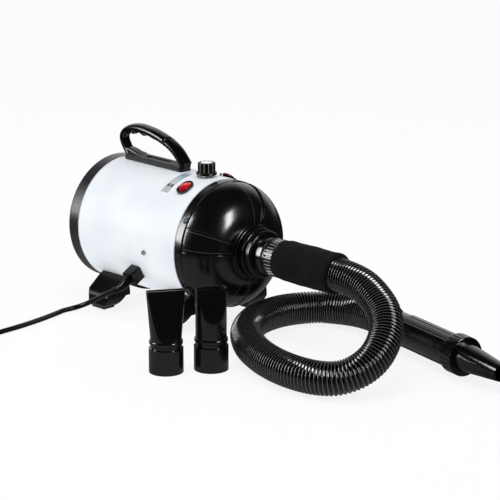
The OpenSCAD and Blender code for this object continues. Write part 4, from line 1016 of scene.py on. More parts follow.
@dataclass
class Skin:
    """A mesh that is being made: points in metres and faces."""

    points: np.ndarray
    faces: list[tuple[int, ...]]

    @classmethod
    def of_rings(cls, rings: np.ndarray, closed: bool = False) -> "Skin":
        """Joins rings of points.

        Args:
            rings: Array of rings, points and coordinates.
            closed: Whether the last ring joins the first; if not, both ends get a cap.

        Returns:
            The skin.
        """
        count, sides = rings.shape[:2]
        faces: list[tuple[int, ...]] = []
        for i in range(count if closed else count - 1):
            a, b = i * sides, ((i + 1) % count) * sides
            for k in range(sides):
                n = (k + 1) % sides
                faces.append((a + k, a + n, b + n, b + k))
        if not closed:
            faces.append(tuple(range(sides))[::-1])
            faces.append(tuple((count - 1) * sides + k for k in range(sides)))
        return cls(rings.reshape(-1, 3), faces)

    def joined(self, other: "Skin") -> "Skin":
        """Returns this skin and another as one.

        Args:
            other: The other skin.

        Returns:
            The skin of both.
        """
        shift = len(self.points)
        moved = [tuple(i + shift for i in face) for face in other.faces]
        return Skin(np.vstack([self.points, other.points]), self.faces + moved)

    def piece(
        self,
        name: str,
        finish: Finish,
        body: str = MACHINE,
        replaces: Iterable[str] = (),
        slot: str | None = None,
        crease: float = 40.0,
    ) -> bpy.types.Object:
        """slot: Not used; the record's material slot.
            crease: Angle in degrees above which an edge stays sharp.

        Returns:
            The object.
        """
        mesh = bpy.data.meshes.new(name)
        mesh.from_pydata(self.points.tolist(), [], self.faces)
        mesh.validate()
        mesh.shade_smooth()
        mesh.set_sharp_from_angle(angle=math.radians(crease))
        obj = bpy.data.objects.new(name, mesh)
        bpy.context.scene.collection.objects.link(obj)
        finish.dress(obj)
        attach(obj, body)
        nodes = list(replaces)
        if nodes:
            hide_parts(*nodes)
        LOG.info("piece %s: %d points", name, len(self.points))
        return obj


def smooth_curve(points: Sequence[Row], steps: int) -> np.ndarray:
    """Runs a smooth curve through points.

    Args:
        points: The points.
        steps: Number of steps between two of them.

    Returns:
        The curve's points.
    """
    p = np.array(points, float)
    p = np.vstack([p[:1], p, p[-1:]])
    t = (np.arange(steps) / steps)[:, None]
    out = []
    for a, b, c, d in zip(p, p[1:], p[2:], p[3:]):
        bend = (2 * a - 5 * b + 4 * c - d) * t * t + (3 * b - a - 3 * c + d) * t**3
        out.append(0.5 * (2 * b + (c - a) * t + bend))
    return np.vstack([*out, p[-1:]])


def runs(curve: np.ndarray) -> np.ndarray:
    """Returns the distance run at each point of a curve."""
    steps = np.linalg.norm(np.diff(curve, axis=0), axis=1)
    return np.concatenate([[0.0], np.cumsum(steps)])


def respaced(curve: np.ndarray, places: np.ndarray) -> np.ndarray:
    """Returns the points of a curve at given distances along it."""
    at = runs(curve)
    return np.stack([np.interp(places, at, curve[:, k]) for k in range(3)], axis=1)


def headings(line: np.ndarray, first: Row | None, last: Row | None) -> np.ndarray:
    """Finds the direction at each point of a line.

    Args:
        line: The points.
        first: Direction at the start, or as the line has it.
        last: Direction at the end, or as the line has it.

    Returns:
        One unit vector for each point.
    """
    way = unit(np.gradient(line, axis=0))
    if first is not None:
        way[0] = unit(np.array(first, float))
    if last is not None:
        way[-1] = unit(np.array(last, float))
    return way


def tube_rings(line: np.ndarray, way: np.ndarray, radii: Any, sides: int) -> np.ndarray:
    """Sets rings of points square to a line.

    Args:
        line: Ring centres.
        way: Direction at each centre.
        radii: Radius of all rings, or of each.
        sides: Points in a ring.

    Returns:
        The rings.
    """
    radii = np.broadcast_to(radii, len(line))
    side = unit(np.cross(way, np.array([0.0, 0.0, 1.0])))
    up = np.cross(side, way)
    a = round_angles(sides, 0.5)
    across = np.cos(a)[None, :, None] * side[:, None, :]
    above = np.sin(a)[None, :, None] * up[:, None, :]
    return line[:, None, :] + radii[:, None, None] * (across + above)


def barrel_ring(angles: np.ndarray, radius: Any, x: Any) -> np.ndarray:
    """Sets one ring of points round the barrel's axis.

    Args:
        angles: Angles of the points, from the top towards -Y.
        radius: Radius of all points, or of each.
        x: Place along the axis of all points, or of each.

    Returns:
        The ring.
    """
    a, r, x = np.broadcast_arrays(angles, radius, x)
    return np.stack([x, -r * np.sin(a), AXIS_Z + r * np.cos(a)], axis=-1)


def turned(profile: Iterable[Row], sides: int) -> Skin:
    """Turns a closed profile round the barrel's axis.

    Args:
        profile: Pairs of radius and place, in order round the section.
        sides: Points round the axis.

    Returns:
        The skin.
    """
    a = round_angles(sides)
    return Skin.of_rings(np.array([barrel_ring(a, r, x) for r, x in profile]), closed=True)


def arc(
    centre: Row, radius: float, start: float, end: float, steps: int
) -> list[tuple[float, float]]:
    """Lists (radius, place) pairs on an arc.

    Args:
        centre: Centre of the arc as (radius, place).
        radius: Radius of the arc.
        start: First angle in degrees; 0 points away from the axis and 90 forwards.
        end: Last angle.
        steps: Number of steps.

    Returns:
        The pairs.
    """
    r, x = centre
    angles = np.radians(np.linspace(start, end, steps + 1))
    return [(r + radius * math.cos(t), x + radius * math.sin(t)) for t in angles]


@dataclass(frozen=True)
class Rounding:
    """How sharp edges of a shown CAD node are rounded; its own mesh stays as it is.

    The width is in metres, and the angle in degrees is where an edge counts as sharp.
    """

    width: float
    segments: int = 2
    sharp: float = 32.0
    flat: float = 0.3
    weld_gap: float = 0.000002

    def soften(self, node: str) -> None:
        """Adds the modifiers that weld points, merge flat faces and round edges.

        Args:
            node: The node's name.
        """
        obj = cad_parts[node]
        if "custom_normal" in obj.data.attributes:
            obj.data.attributes.remove(obj.data.attributes["custom_normal"])
        obj.data.shade_smooth()
        weld = obj.modifiers.new("weld", "WELD")
        weld.merge_threshold = self.weld_gap
        merge = obj.modifiers.new("flat", "DECIMATE")
        merge.decimate_type = "DISSOLVE"
        merge.angle_limit = math.radians(self.flat)
        bevel = obj.modifiers.new("round", "BEVEL")
        bevel.width = self.width
        bevel.segments = self.segments
        bevel.limit_method = "ANGLE"
        bevel.angle_limit = math.radians(self.sharp)
        bevel.use_clamp_overlap = True
        bevel.harden_normals = True


# ---------------------------------------------------------------- sub-assemblies

Finishes = Mapping[Finish, tuple[str, ...]]
Roundings = Mapping[str, Rounding]


@dataclass
class Assembly:
    """A group of pieces: its CAD nodes' finishes and roundings, and its finer pieces."""

    title: ClassVar[str] = "assembly"
    finishes: ClassVar[Finishes] = {}
    roundings: ClassVar[Roundings] = {}

    def build(self) -> None:
        """Builds the group's finer pieces, and dresses its shown CAD nodes."""
        self.pieces()
        for finish, nodes in self.finishes.items():
            for node in nodes:
                finish.dress(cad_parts[node])
                LOG.info("dressed %s in %s", node, finish.name)
        for node, rounding in self.roundings.items():
            rounding.soften(node)
        LOG.info("built %s", self.title)

    def pieces(self) -> None:
        """Builds the group's finer pieces; a group of CAD nodes alone has none."""

    @staticmethod
    def mark_highlights(obj: bpy.types.Object, height: np.ndarray) -> None:
        """Marks the lines of a mesh, such as the crests of its ribs, on which a finish paints
        highlight lines.

        Args:
            obj: The object.
            height: From 0 in a valley to 1 on a crest, for each point of the mesh.
        """
        marks = obj.data.attributes.new("crest", "FLOAT", "POINT")
        marks.data.foreach_set("value", height)


@dataclass
class MainsLead(Assembly):
    """The mains cord from its gland to the coil of its stored length, and its plug."""

    title: ClassVar[str] = "mains lead"
    finishes: ClassVar[Finishes] = {
        CORD_SKIN: ("mains_plug", "cord_gland"),
        BRASS: ("plug_pins",),
    }
    roundings: ClassVar[Roundings] = {
        "mains_plug": Rounding(0.0008),
        "cord_gland": Rounding(0.0005),
    }
    radius: float = 0.0035
    length: float = 2.0
    sides: int = 16
    gland_angle: float = 119.0
    gland_out: float = 0.111
    coil_turns: int = 7
    turn_steps: int = 48
    coil_step: float = 0.0075
    coil_rise: float = 0.0075
    entry_y: float = -0.296
    lead_in: float = 0.007
    plug_y: float = -0.345
    plug_z: float = 0.013
    least_step: float = 0.0002
    relief_length: float = 0.024
    relief_step: float = 0.0002
    relief_sides: int = 28
    relief_wall: float = 0.0022
    relief_taper: float = 0.0016
    groove_pitch: float = 0.0032
    groove_depth: float = 0.0006
    curve_steps: int = 12
    route: tuple[Row, ...] = (
        (-0.0015, -0.101, 0.0515),
        (-0.008, -0.104, 0.047),
        (-0.018, -0.1055, 0.0415),
        (-0.032, -0.106, 0.034),
        (-0.047, -0.105, 0.026),
        (-0.062, -0.104, 0.018),
        (-0.076, -0.105, 0.0105),
        (-0.086, -0.110, 0.0055),
        (-0.091, -0.120, 0.0035),
        (-0.0915, -0.133, 0.0035),
        (-0.088, -0.150, 0.0035),
        (-0.084, -0.171, 0.0035),
        (-0.0805, -0.195, 0.0035),
        (-0.078, -0.222, 0.0035),
        (-0.077, -0.257, 0.0035),
        (-0.077, -0.296, 0.0035),
    )

    @property
    def exit(self) -> np.ndarray:
        """The point where the cord leaves the gland."""
        a, out = math.radians(self.gland_angle), self.gland_out
        return np.array([0.0, -out * math.sin(a), AXIS_Z + out * math.cos(a)])

    @property
    def exit_way(self) -> np.ndarray:
        """The direction in which the cord leaves the gland."""
        return self.exit - np.array([0, 0, AXIS_Z])

    def seen(self) -> np.ndarray:
        """Returns the curve from the gland to the coil."""
        return smooth_curve([tuple(self.exit), *self.route], self.curve_steps)

    def coil(self, seen_length: float) -> np.ndarray:
        """Winds the stored length.

        Args:
            seen_length: Length of the cord before the coil.

        Returns:
            The coil's points and the run out to the plug.
        """
        out = abs(self.plug_y - self.entry_y) - self.lead_in
        wound = self.length - seen_length - self.lead_in - out
        outer = wound / (2 * math.pi * self.coil_turns)
        outer += self.coil_step * self.coil_turns / 4
        cx, cy = self.route[-1][0] - outer, self.entry_y - self.lead_in
        low, top = self.radius, self.radius + self.coil_rise
        half = self.coil_turns / 2
        turn = np.linspace(0, self.coil_turns, self.coil_turns * self.turn_steps + 1)
        r = outer - self.coil_step * np.where(turn < half, turn, self.coil_turns - turn)
        z = low + self.coil_rise * eased((turn - half + 0.25) * 2)
        x, y = cx + r * np.cos(2 * np.pi * turn), cy - r * np.sin(2 * np.pi * turn)
        tail = [
            (cx + outer, cy - out * 0.6, top + 0.7 * (self.plug_z - top)),
            (cx + outer, self.plug_y + 2 * self.radius, self.plug_z),
            (cx + outer, self.plug_y, self.plug_z),
        ]
        return np.vstack([np.stack([x, y, z], axis=1), tail])

    def pieces(self) -> None:
        """Builds the cord and its strain relief."""
        seen = self.seen()
        line = np.vstack([seen, self.coil(float(runs(seen)[-1]))])
        line = line[np.concatenate([[True], np.diff(runs(line)) > self.least_step])]
        way = headings(line, self.exit_way, (0, -1, 0))
        cord = Skin.of_rings(tube_rings(line, way, self.radius, self.sides)).piece(
            "mains_lead", CORD_SKIN, replaces=("mains_cord", "cord_coil"), slot="cord_rubber"
        )
        self.relief(seen)

    def relief(self, seen: np.ndarray) -> bpy.types.Object:
        """Builds the tapered, ringed sleeve over the cord's first stretch.

        Args:
            seen: The cord's curve.

        Returns:
            The sleeve.
        """
        places = np.arange(0, self.relief_length, self.relief_step)
        line = respaced(seen, places)
        share = places / self.relief_length
        grooved = (np.sin(places / self.groove_pitch * 2 * np.pi) > 0.55) * (share < 0.9)
        radii = self.radius + self.relief_wall - self.relief_taper * share
        radii = radii - self.groove_depth * grooved
        rings = tube_rings(line, headings(line, self.exit_way, None), radii, self.relief_sides)
        return Skin.of_rings(rings).piece("cord_relief", CORD_SKIN, slot="soft_rubber")


@dataclass
class HoseLine(Assembly):
    """The ribbed hose from the outlet to the wand, its cuff and sleeve, and the wand."""

    title: ClassVar[str] = "hose"
    finishes: ClassVar[Finishes] = {
        GLOSS: ("hose_cuff", "wand_collar", "cone_nozzle"),
        WAND_SKIN: ("wand",),
    }
    roundings: ClassVar[Roundings] = {
        "hose_cuff": Rounding(0.0005),
        "wand_collar": Rounding(0.0004),
    }
    start_x: float = 0.1842
    radius: float = 0.022
    rib_depth: float = 0.0020
    rib_power: float = 1.2
    rib_pitch: float = 0.0046
    wall: float = 0.0012
    sides: int = 44
    per_rib: int = 10
    bore_rings: int = 120
    sleeve_from: float = 0.2042
    sleeve_length: float = 0.097
    sleeve_radius: float = 0.028
    sleeve_start_radius: float = 0.0257
    sleeve_ease: float = 0.013
    sleeve_edge: float = 0.0026
    sleeve_sides: int = 128
    sleeve_give: float = 0.0005
    waist: float = 0.00028
    waist_ease: float = 0.02
    wave_most: float = 0.0004
    waves: tuple[Row, ...] = ((0.00028, 2, 90), (0.00018, 5, -160), (0.00014, 3, 310))
    ring_r: float = 0.0257
    ring_plain: float = 0.007
    ring_edge: float = 0.0004
    ridges: int = 30
    per_ridge: int = 16
    ridge_width: float = 0.0030
    ridge_depth: float = 0.0011
    ridge_ease: float = 0.0005
    knurl_ease: float = 0.0006
    groove_depth: float = 0.001
    groove_back: float = 0.0015
    groove_floor: float = 0.0004
    groove_mouth: float = 0.0006
    curve_steps: int = 16
    route: tuple[Row, ...] = (
        (0.1842, 0.0, 0.110),
        (0.214, 0.0, 0.110),
        (0.244, 0.0, 0.110),
        (0.272, 0.0, 0.110),
        (0.302, 0.0, 0.110),
        (0.326, -0.001, 0.109),
        (0.352, -0.004, 0.105),
        (0.378, -0.011, 0.096),
        (0.401, -0.021, 0.085),
        (0.420, -0.037, 0.071),
        (0.431, -0.057, 0.056),
        (0.434, -0.079, 0.042),
        (0.428, -0.101, 0.031),
        (0.413, -0.119, 0.024),
        (0.390, -0.131, 0.022),
        (0.362, -0.136, 0.022),
        (0.332, -0.134, 0.022),
        (0.302, -0.127, 0.022),
        (0.273, -0.116, 0.022),
        (0.246, -0.102, 0.022),
        (0.222, -0.085, 0.022),
        (0.200, -0.065, 0.022),
        (0.182, -0.042, 0.022),
        (0.169, -0.016, 0.022),
        (0.163, 0.012, 0.022),
        (0.164, 0.040, 0.022),
        (0.174, 0.066, 0.022),
        (0.192, 0.087, 0.0225),
        (0.216, 0.098, 0.0235),
        (0.238, 0.103, 0.0245),
        (0.260, 0.1025, 0.0255),
        (0.280, 0.099, 0.026),
        (0.300, 0.0943, 0.026),
    )

    def pieces(self) -> None:
        """Builds the hose, and the ring and the sleeve on it."""
        curve = smooth_curve(self.route, self.curve_steps)
        length = float(runs(curve)[-1])
        end_way = np.array(self.route[-1]) - np.array(self.route[-2])
        end_way[2] = 0
        count = math.floor((length - self.radius) / self.rib_pitch)
        lead = (length - count * self.rib_pitch) / 2
        ribs = lead + np.arange(count * self.per_rib + 1) * self.rib_pitch / self.per_rib
        places = np.concatenate([[0.0, lead / 2], ribs, [length - lead / 2, length]])
        line = respaced(curve, places)
        way = headings(line, (1, 0, 0), end_way)
        phase = np.clip((places - lead) / self.rib_pitch, 0, count)
        crest = np.abs(np.sin(np.pi * phase)) ** self.rib_power
        root = self.radius - self.rib_depth
        outer = tube_rings(line, way, self.radius - self.rib_depth * (1 - crest), self.sides)
        bore = respaced(curve, np.linspace(0, length, self.bore_rings)[::-1])
        bore_way = -headings(bore, -end_way, (-1, 0, 0))
        inner = tube_rings(bore, bore_way, root - self.wall, self.sides)
        skin = Skin.of_rings(np.concatenate([outer, inner]), closed=True)
        hose = skin.piece(
            "ribbed_hose", HOSE_SKIN, replaces=("hose",), slot="hose_black", crease=180
        )
        # Marks the rib crests, on which the hose's finish paints highlight lines
        high = np.zeros(len(skin.points))
        high[: len(outer) * self.sides] = np.repeat(crest, self.sides)
        self.mark_highlights(hose, high)
        self.sleeve()
        self.knurled_ring()

    def knurled_ring(self) -> bpy.types.Object:
        """Builds the ring that the sleeve meets, with a groove and a knurled front."""
        a = round_angles(self.per_ridge * self.ridges)
        off = np.abs(a * self.ridges / (2 * np.pi) % 1 - 0.5) * 2 * np.pi / self.ridges
        from_ridge = self.ring_r * off - self.ridge_width / 2
        gap = self.ridge_depth * eased(from_ridge / self.ridge_ease)
        start, front, r, low = self.start_x, self.sleeve_from, self.ring_r, self.ring_edge
        bore, deep = self.radius + HOSE_PLAY, self.ring_r - self.groove_depth
        knurl_from, knurl_to = start + self.ring_plain, front - 2 * low
        groove = knurl_from - self.groove_back
        floor, mouth = self.groove_floor, self.groove_mouth
        rows = [(bore, start), (r - low, start), (r, start + low), (r, groove - mouth)]
        rows += [(deep, groove - floor), (deep, groove + floor), (r, groove + mouth)]
        rows += [(r, x) for x in np.linspace(knurl_from - 0.0003, knurl_to + 0.0003, 18)]
        rows += [(r, front - low), (r - low, front), (bore, front)]
        rings = []
        for radius, x in rows:
            cut = np.clip(min(x - knurl_from, knurl_to - x) / self.knurl_ease, 0, 1)
            rings.append(barrel_ring(a, radius - gap * cut, x))
        return Skin.of_rings(np.array(rings), closed=True).piece(
            "knurled_ring", KNURL, replaces=("cuff_ring",), slot="gloss_black", crease=50
        )

    def sleeve(self) -> bpy.types.Object:
        """Builds the foam sleeve with its rolled ends and slight waves."""
        a, b = self.sleeve_from, self.sleeve_from + self.sleeve_length
        start, full, edge = self.sleeve_start_radius, self.sleeve_radius, self.sleeve_edge
        along = np.linspace(a + edge, b - edge, 70)
        grown = np.sin(np.minimum(1.0, (along - a) / self.sleeve_ease) * np.pi / 2)
        rear = arc((start - edge / 2, a + edge / 2), edge / 2, -90, -20, 5)
        middle = zip(start + (full - start) * grown, along)
        front = arc((full - edge, b - edge), edge, 0, 90, 8)
        bore = [(self.radius + HOSE_PLAY, x) for x in np.linspace(b, a, 12)]
        skin = turned([*rear, *middle, *front, *bore], self.sleeve_sides)
        x, y, z = skin.points.T - np.array([[0.0], [0.0], [AXIS_Z]])
        r, angle = np.hypot(y, z), np.arctan2(y, z)
        wave = sum(high * np.sin(turns * angle + run * x) for high, turns, run in self.waves)
        wave = np.clip(wave, -self.wave_most, self.wave_most)
        rise = np.clip((x - a) / self.waist_ease, 0, 1)
        waist = self.waist * rise * np.clip((b - x) / self.waist_ease, 0, 1)
        outside = np.clip((r - self.radius - 0.002) / 0.003, 0, 1)
        scale = (r - (self.sleeve_give + waist + wave) * outside) / r
        skin.points[:, 1] = y * scale
        skin.points[:, 2] = AXIS_Z + z * scale
        sleeve = skin.piece(
            "grip_sleeve", SLEEVE_FOAM, replaces=("foam_sleeve",), slot="black_foam"
        )
        return sleeve


@dataclass
class Dome(Assembly):
    """The domed front with its raised segments, and the stepped outlet.

    Each row of its mesh is a ring round the barrel's axis, given as a pair of radius and
    place, where either may differ from angle to angle.
    """

    title: ClassVar[str] = "dome"
    finishes: ClassVar[Finishes] = {
        DOME_GLOSS: ("outlet_collar",),
        BLACKENED: ("dome_screws",),
        ZINC: ("barrel_screws",),
    }
    rear_x: float = 0.085
    band_to: float = 0.097
    ease_to: float = 0.099
    arc_x: float = 0.096
    arc_r: float = 0.0495
    channel_depth: float = 0.0016
    wall: float = 0.0025
    lip: float = 0.003
    lip_x: float = 0.1023
    edge: float = 0.0008
    fillet: float = 0.0012
    boss_edge: float = 0.0015
    boss_r: float = 0.036
    boss_x: float = 0.150
    bore_r: float = 0.0274
    bore_edge: float = 0.0005
    bore_x: float = 0.1415
    ridge_middles: tuple[float, ...] = (30.0, 120.0, 210.0, 300.0)
    ridge_half: float = 34.0
    step_out: float = 0.5
    step_width: float = 1.3
    ditch: float = 0.4
    ditch_out: float = 0.9
    ditch_width: float = 2.6
    # Half width in degrees of the painted highlight line beside each segment
    highlight_line_half: float = 0.42
    mesh_step: float = 1.5
    fine_step: float = 0.14
    screw_step: float = 0.3
    least_step: float = 0.05
    screw_x: float = 0.0945
    screw_angles: tuple[float, ...] = (58.0, 122.0, 238.0, 302.0)
    recess_r: float = 0.0044
    recess_edge: float = 0.0004
    recess_depth: float = 0.0012

    @property
    def base_r(self) -> float:
        """Radius of the bowl's arc at the bottom of a channel."""
        return self.arc_r - self.channel_depth

    def angles(self) -> np.ndarray:
        """Returns the angles of the mesh's lines, close together where the shape steps."""
        marks: list[np.ndarray] = [np.arange(0, 360, self.mesh_step)]
        across_edge = np.arange(-1.4, 4.6, self.fine_step)
        for middle in self.ridge_middles:
            for side in (-1, 1):
                marks.append(middle + side * self.ridge_half + side * across_edge)
        for screw in self.screw_angles:
            marks.append(screw + np.arange(-3.6, 3.61, self.screw_step))
        every = np.unique(np.round(np.concatenate(marks) % 360, 3))
        apart = np.concatenate([[True], np.diff(every) > self.least_step])
        return np.radians(every[apart])

    def ridge(self, angles: np.ndarray) -> np.ndarray:
        """Finds how high the bowl stands, as a share of the channels' depth.

        Args:
            angles: Angles in radians.

        Returns:
            1 on a raised segment, 0 in a channel and less in the ditch along its edge.
        """
        out = np.zeros_like(angles)
        for middle in self.ridge_middles:
            off = np.abs(degrees_from(angles, middle)) - self.ridge_half
            far = (off - self.ditch_out) / self.ditch_width
            ditch = np.exp(-((far * np.where(far < 0, 5, 1.4)) ** 2))
            top = eased((self.step_out - off) / self.step_width)
            out = np.maximum(out, top) - self.ditch * ditch
        return out

    def recessed(self, angles: np.ndarray, x: float) -> np.ndarray:
        """Returns the band's radius, sunk where a rim screw sits.

        Args:
            angles: Angles in radians.
            x: Place along the barrel.

        Returns:
            A radius for each angle.
        """
        low = np.zeros_like(angles)
        for screw in self.screw_angles:
            off = np.radians(degrees_from(angles, screw)) * BARREL_R
            far = np.hypot(off, x - self.screw_x)
            low = np.maximum(low, eased((self.recess_r - far) / self.recess_edge))
        return BARREL_R - self.recess_depth * low

    def on_bowl(self, radius: Any, t: float) -> tuple[Any, Any]:
        """Returns the ring at angle t in radians on the bowl's arc."""
        return BARREL_R - self.arc_r + radius * math.cos(t), self.arc_x + radius * math.sin(t)

    def band(self, angles: np.ndarray) -> Iterator[tuple[Any, Any]]:
        """Yields the rings of the band that holds the rim screws.

        Args:
            angles: Angles of the mesh's lines.

        Yields:
            One ring at a time, from the rear forwards.
        """
        edge = self.edge
        yield BARREL_R - self.lip, self.rear_x
        yield BARREL_R - edge, self.rear_x
        for t in np.radians([25, 50, 75, 90]):
            yield BARREL_R - edge + edge * math.sin(t), self.rear_x + edge * (1 - math.cos(t))
        for x in np.arange(self.rear_x + 0.0012, self.band_to - 0.0006, 0.0004):
            yield self.recessed(angles, x), x
        yield BARREL_R, self.band_to - 0.0005
        yield BARREL_R - 0.00008, self.band_to
        for s in np.linspace(0.15, 1.0, 9):
            x = self.band_to + s * (self.ease_to - self.band_to)
            yield BARREL_R - self.channel_depth * eased(s) - (x - self.arc_x) ** 2 / 0.1, x

    def bowl(self, raised: np.ndarray) -> Iterator[tuple[Any, Any]]:
        """Yields the rings of the bowl with its raised segments.

        Args:
            raised: How high the bowl stands at each angle.

        Yields:
            One ring at a time, from the band forwards.
        """
        lift = raised * self.channel_depth
        for share in np.linspace(0.0, 1.0, 7):
            t = math.asin((self.ease_to + 0.0007 * share - self.arc_x) / self.base_r)
            yield self.on_bowl(self.base_r + lift * eased(share), t)
        for t in np.radians(np.linspace(5.2, 90, 70)):
            yield self.on_bowl(self.base_r + lift, t)

    def outlet(self, raised: np.ndarray) -> Iterator[tuple[Any, Any]]:
        """Yields the rings of the outlet's boss and bore.

        Args:
            raised: How high the bowl stands at each angle.

        Yields:
            One ring at a time, out along the boss and back into the bore.
        """
        fillet, edge = self.fillet, self.boss_edge
        flat_x = self.arc_x + self.base_r + raised * self.channel_depth
        for t in np.radians([0, 30, 60, 90]):
            yield self.boss_r + fillet * (1 - math.sin(t)), flat_x + fillet * (1 - math.cos(t))
        yield from arc((self.boss_r - edge, self.boss_x - edge), edge, 0, 90, 8)
        yield self.bore_r + self.bore_edge, self.boss_x
        yield self.bore_r, self.boss_x - self.bore_edge
        yield self.bore_r, self.bore_x

    def inside(self) -> Iterator[tuple[Any, Any]]:
        """Yields the rings of the bowl's inner face, back to the rim."""
        for t in np.radians(np.linspace(90, 8, 24)):
            yield self.on_bowl(self.base_r - self.wall, t)
        yield BARREL_R - self.lip, self.lip_x

    def pieces(self) -> None:
        """Builds the dome's shell, and marks the fine lines beside its segments, on which its
        finish paints highlight lines.
        """
        a = self.angles()
        raised = self.ridge(a)
        band, bowl = list(self.band(a)), list(self.bowl(raised))
        pairs = [*band, *bowl, *self.outlet(raised), *self.inside()]
        rings = np.array([barrel_ring(a, r, x) for r, x in pairs])
        dome = Skin.of_rings(rings, closed=True).piece(
            "dome_shell",
            DOME_GLOSS,
            replaces=("front_dome",),
            slot="gloss_black",
            crease=60,
        )
        lines = self.ridge_half + self.ditch_width
        off = [np.abs(np.abs(degrees_from(a, m)) - lines) for m in self.ridge_middles]
        line = np.exp(-((np.min(off, axis=0) / self.highlight_line_half) ** 2))
        shown = np.zeros(len(pairs))
        shown[len(band) + 1 : len(band) + len(bowl) + 1] = 1
        self.mark_highlights(dome, np.outer(shown, line).ravel())


@dataclass
class Housing(Assembly):
    """The painted barrel, the rear cap with its grille, and the filter sponge."""

    title: ClassVar[str] = "housing"
    finishes: ClassVar[Finishes] = {
        PAINT: ("barrel",),
        RING: ("rear_cap",),
        SATIN: ("rear_grille",),
    }
    roundings: ClassVar[Roundings] = {"rear_grille": Rounding(0.0005)}
    sponge_r: float = 0.079
    sponge_from: float = -0.1252
    sponge_to: float = -0.1132
    sponge_edge: float = 0.0015
    sponge_hole: float = 0.0004
    sponge_sides: int = 160
    lump: float = 0.0002

    def pieces(self) -> None:
        """Builds the sponge, with a lumpy cut face on both sides."""
        a, b, edge = self.sponge_from, self.sponge_to, self.sponge_edge
        rim, hole = self.sponge_r - edge, self.sponge_hole
        rear = [(r, a) for r in np.linspace(hole, rim, 40)]
        side = arc((rim, a + edge), edge, -90, 0, 5) + arc((rim, b - edge), edge, 0, 90, 5)
        front = [(r, b) for r in np.linspace(rim, hole, 30)]
        skin = turned(rear + side + front, self.sponge_sides)
        x, y, z = skin.points.T
        lumps = np.sin(900 * y + 4 * np.sin(400 * z)) * np.sin(880 * z + 3 * np.sin(500 * y))
        inwards = np.where(x < (a + b) / 2, 1, -1)
        skin.points[:, 0] += inwards * self.lump * (1 + lumps)
        sponge = skin.piece(
            "inlet_sponge", SPONGE_FOAM, replaces=("filter_sponge",), slot="grey_foam"
        )


@dataclass
class Handle(Assembly):
    """The carrying handle: a base strip and a grip with finger bumps."""

    title: ClassVar[str] = "handle"
    finishes: ClassVar[Finishes] = {
        STRIP: ("handle_base",),
        ZINC: ("handle_screws",),
    }
    roundings: ClassVar[Roundings] = {"handle_base": Rounding(0.0008)}
    top: float = 0.1975
    half_width: float = 0.010
    half_thick: float = 0.00575
    leg_half_width: float = 0.0074
    leg_half_thick: float = 0.0051
    leg_from: float = -0.086
    leg_to: float = -0.103
    seam_x: float = -0.020
    seam_half: float = 0.0013
    seam_depth: float = 0.0012
    seam_lip: float = 0.0004
    lip_at: float = 1.7
    lip_half: float = 0.6
    cusp_x: float = -0.0633
    cusp_pitch: float = 0.0243
    cusp_height: float = 0.0032
    cusp_power: float = 1.2
    cusps_from: float = -0.103
    cusps_to: float = -0.031
    cusps_rise: float = 0.008
    cusps_fall: float = 0.03
    cusps_above: float = 0.03
    square: float = 0.78
    rings: int = 280
    sides: int = 56
    gusset_foot: float = 0.0058
    gusset_square: float = 0.4
    gusset_sides: int = 32
    line: tuple[Row, ...] = (
        (-0.094, 0.006),
        (-0.101, 0.013),
        (-0.107, 0.022),
        (-0.1085, 0.029),
        (-0.1055, 0.0352),
        (-0.098, 0.0405),
        (-0.086, 0.0444),
        (-0.074, 0.0457),
        (-0.062, 0.0449),
        (-0.048, 0.0430),
        (-0.034, 0.0398),
        (-0.020, 0.0354),
        (-0.008, 0.0300),
        (0.002, 0.0233),
        (0.010, 0.0154),
        (0.016, 0.0085),
    )
    gusset_line: tuple[Row, ...] = (
        (-0.099, 0.0158),
        (-0.090, 0.0143),
        (-0.080, 0.0117),
        (-0.070, 0.0086),
        (-0.064, 0.0070),
    )

    def pieces(self) -> None:
        """Builds the grip with its seam, its finger bumps and its wedge."""
        coarse = smooth_curve([(x, 0.0, self.top + z) for x, z in self.line], 12)
        line = respaced(coarse, np.linspace(0, float(runs(coarse)[-1]), self.rings))
        way = headings(line, None, None)
        out = np.stack([-way[:, 2], np.zeros(len(way)), way[:, 0]], axis=1)
        x, height = line[:, 0], line[:, 2] - self.top
        leg = eased((x - self.leg_from) / (self.leg_to - self.leg_from))
        wide = self.half_width + (self.leg_half_width - self.half_width) * leg
        thick = self.half_thick + (self.leg_half_thick - self.half_thick) * leg
        from_seam = (x - self.seam_x) / self.seam_half
        seam = np.clip(1 - np.abs(from_seam), 0, 1) * self.seam_depth
        lip = np.exp(-(((from_seam - self.lip_at) / self.lip_half) ** 2))
        seam -= lip * self.seam_lip
        rise = np.clip((x - self.cusps_from) / self.cusps_rise, 0, 1)
        fall = np.clip((self.cusps_to - x) / self.cusps_fall, 0, 1)
        fall = fall * (height > self.cusps_above)
        wave = 1 - np.abs(np.sin(np.pi * (x - self.cusp_x) / self.cusp_pitch))
        bump = self.cusp_height * wave**self.cusp_power * rise * fall / thick
        across, above = squared(round_angles(self.sides, 0.5), self.square)
        half_w = (wide - seam)[:, None] * across
        half_t = (thick - seam)[:, None] * above
        half_t = np.where(above < 0, half_t * (1 + bump[:, None]), half_t)
        sideways = half_w[..., None] * np.array([0.0, -1.0, 0.0])
        rings = line[:, None, :] + sideways + half_t[..., None] * out[:, None, :]
        Skin.of_rings(rings).joined(self.gusset()).piece(
            "grip_moulding", GRIP, replaces=("handle_grip",), slot="gloss_black"
        )

    def gusset(self) -> Skin:
        """Returns the wedge that runs from the rear leg forwards along the base."""
        line = smooth_curve([(x, 0.0, z) for x, z in self.gusset_line], 6)
        foot, sides = self.gusset_foot, self.gusset_sides
        across, above = squared(round_angles(sides, 0.5), self.gusset_square)
        rings = []
        y = -self.leg_half_width * across
        for x, _, z in line:
            up = self.top + foot + (z - foot) / 2 * (1 + above)
            rings.append(np.stack([np.full(sides, x), y, up], axis=1))
        return Skin.of_rings(np.array(rings))


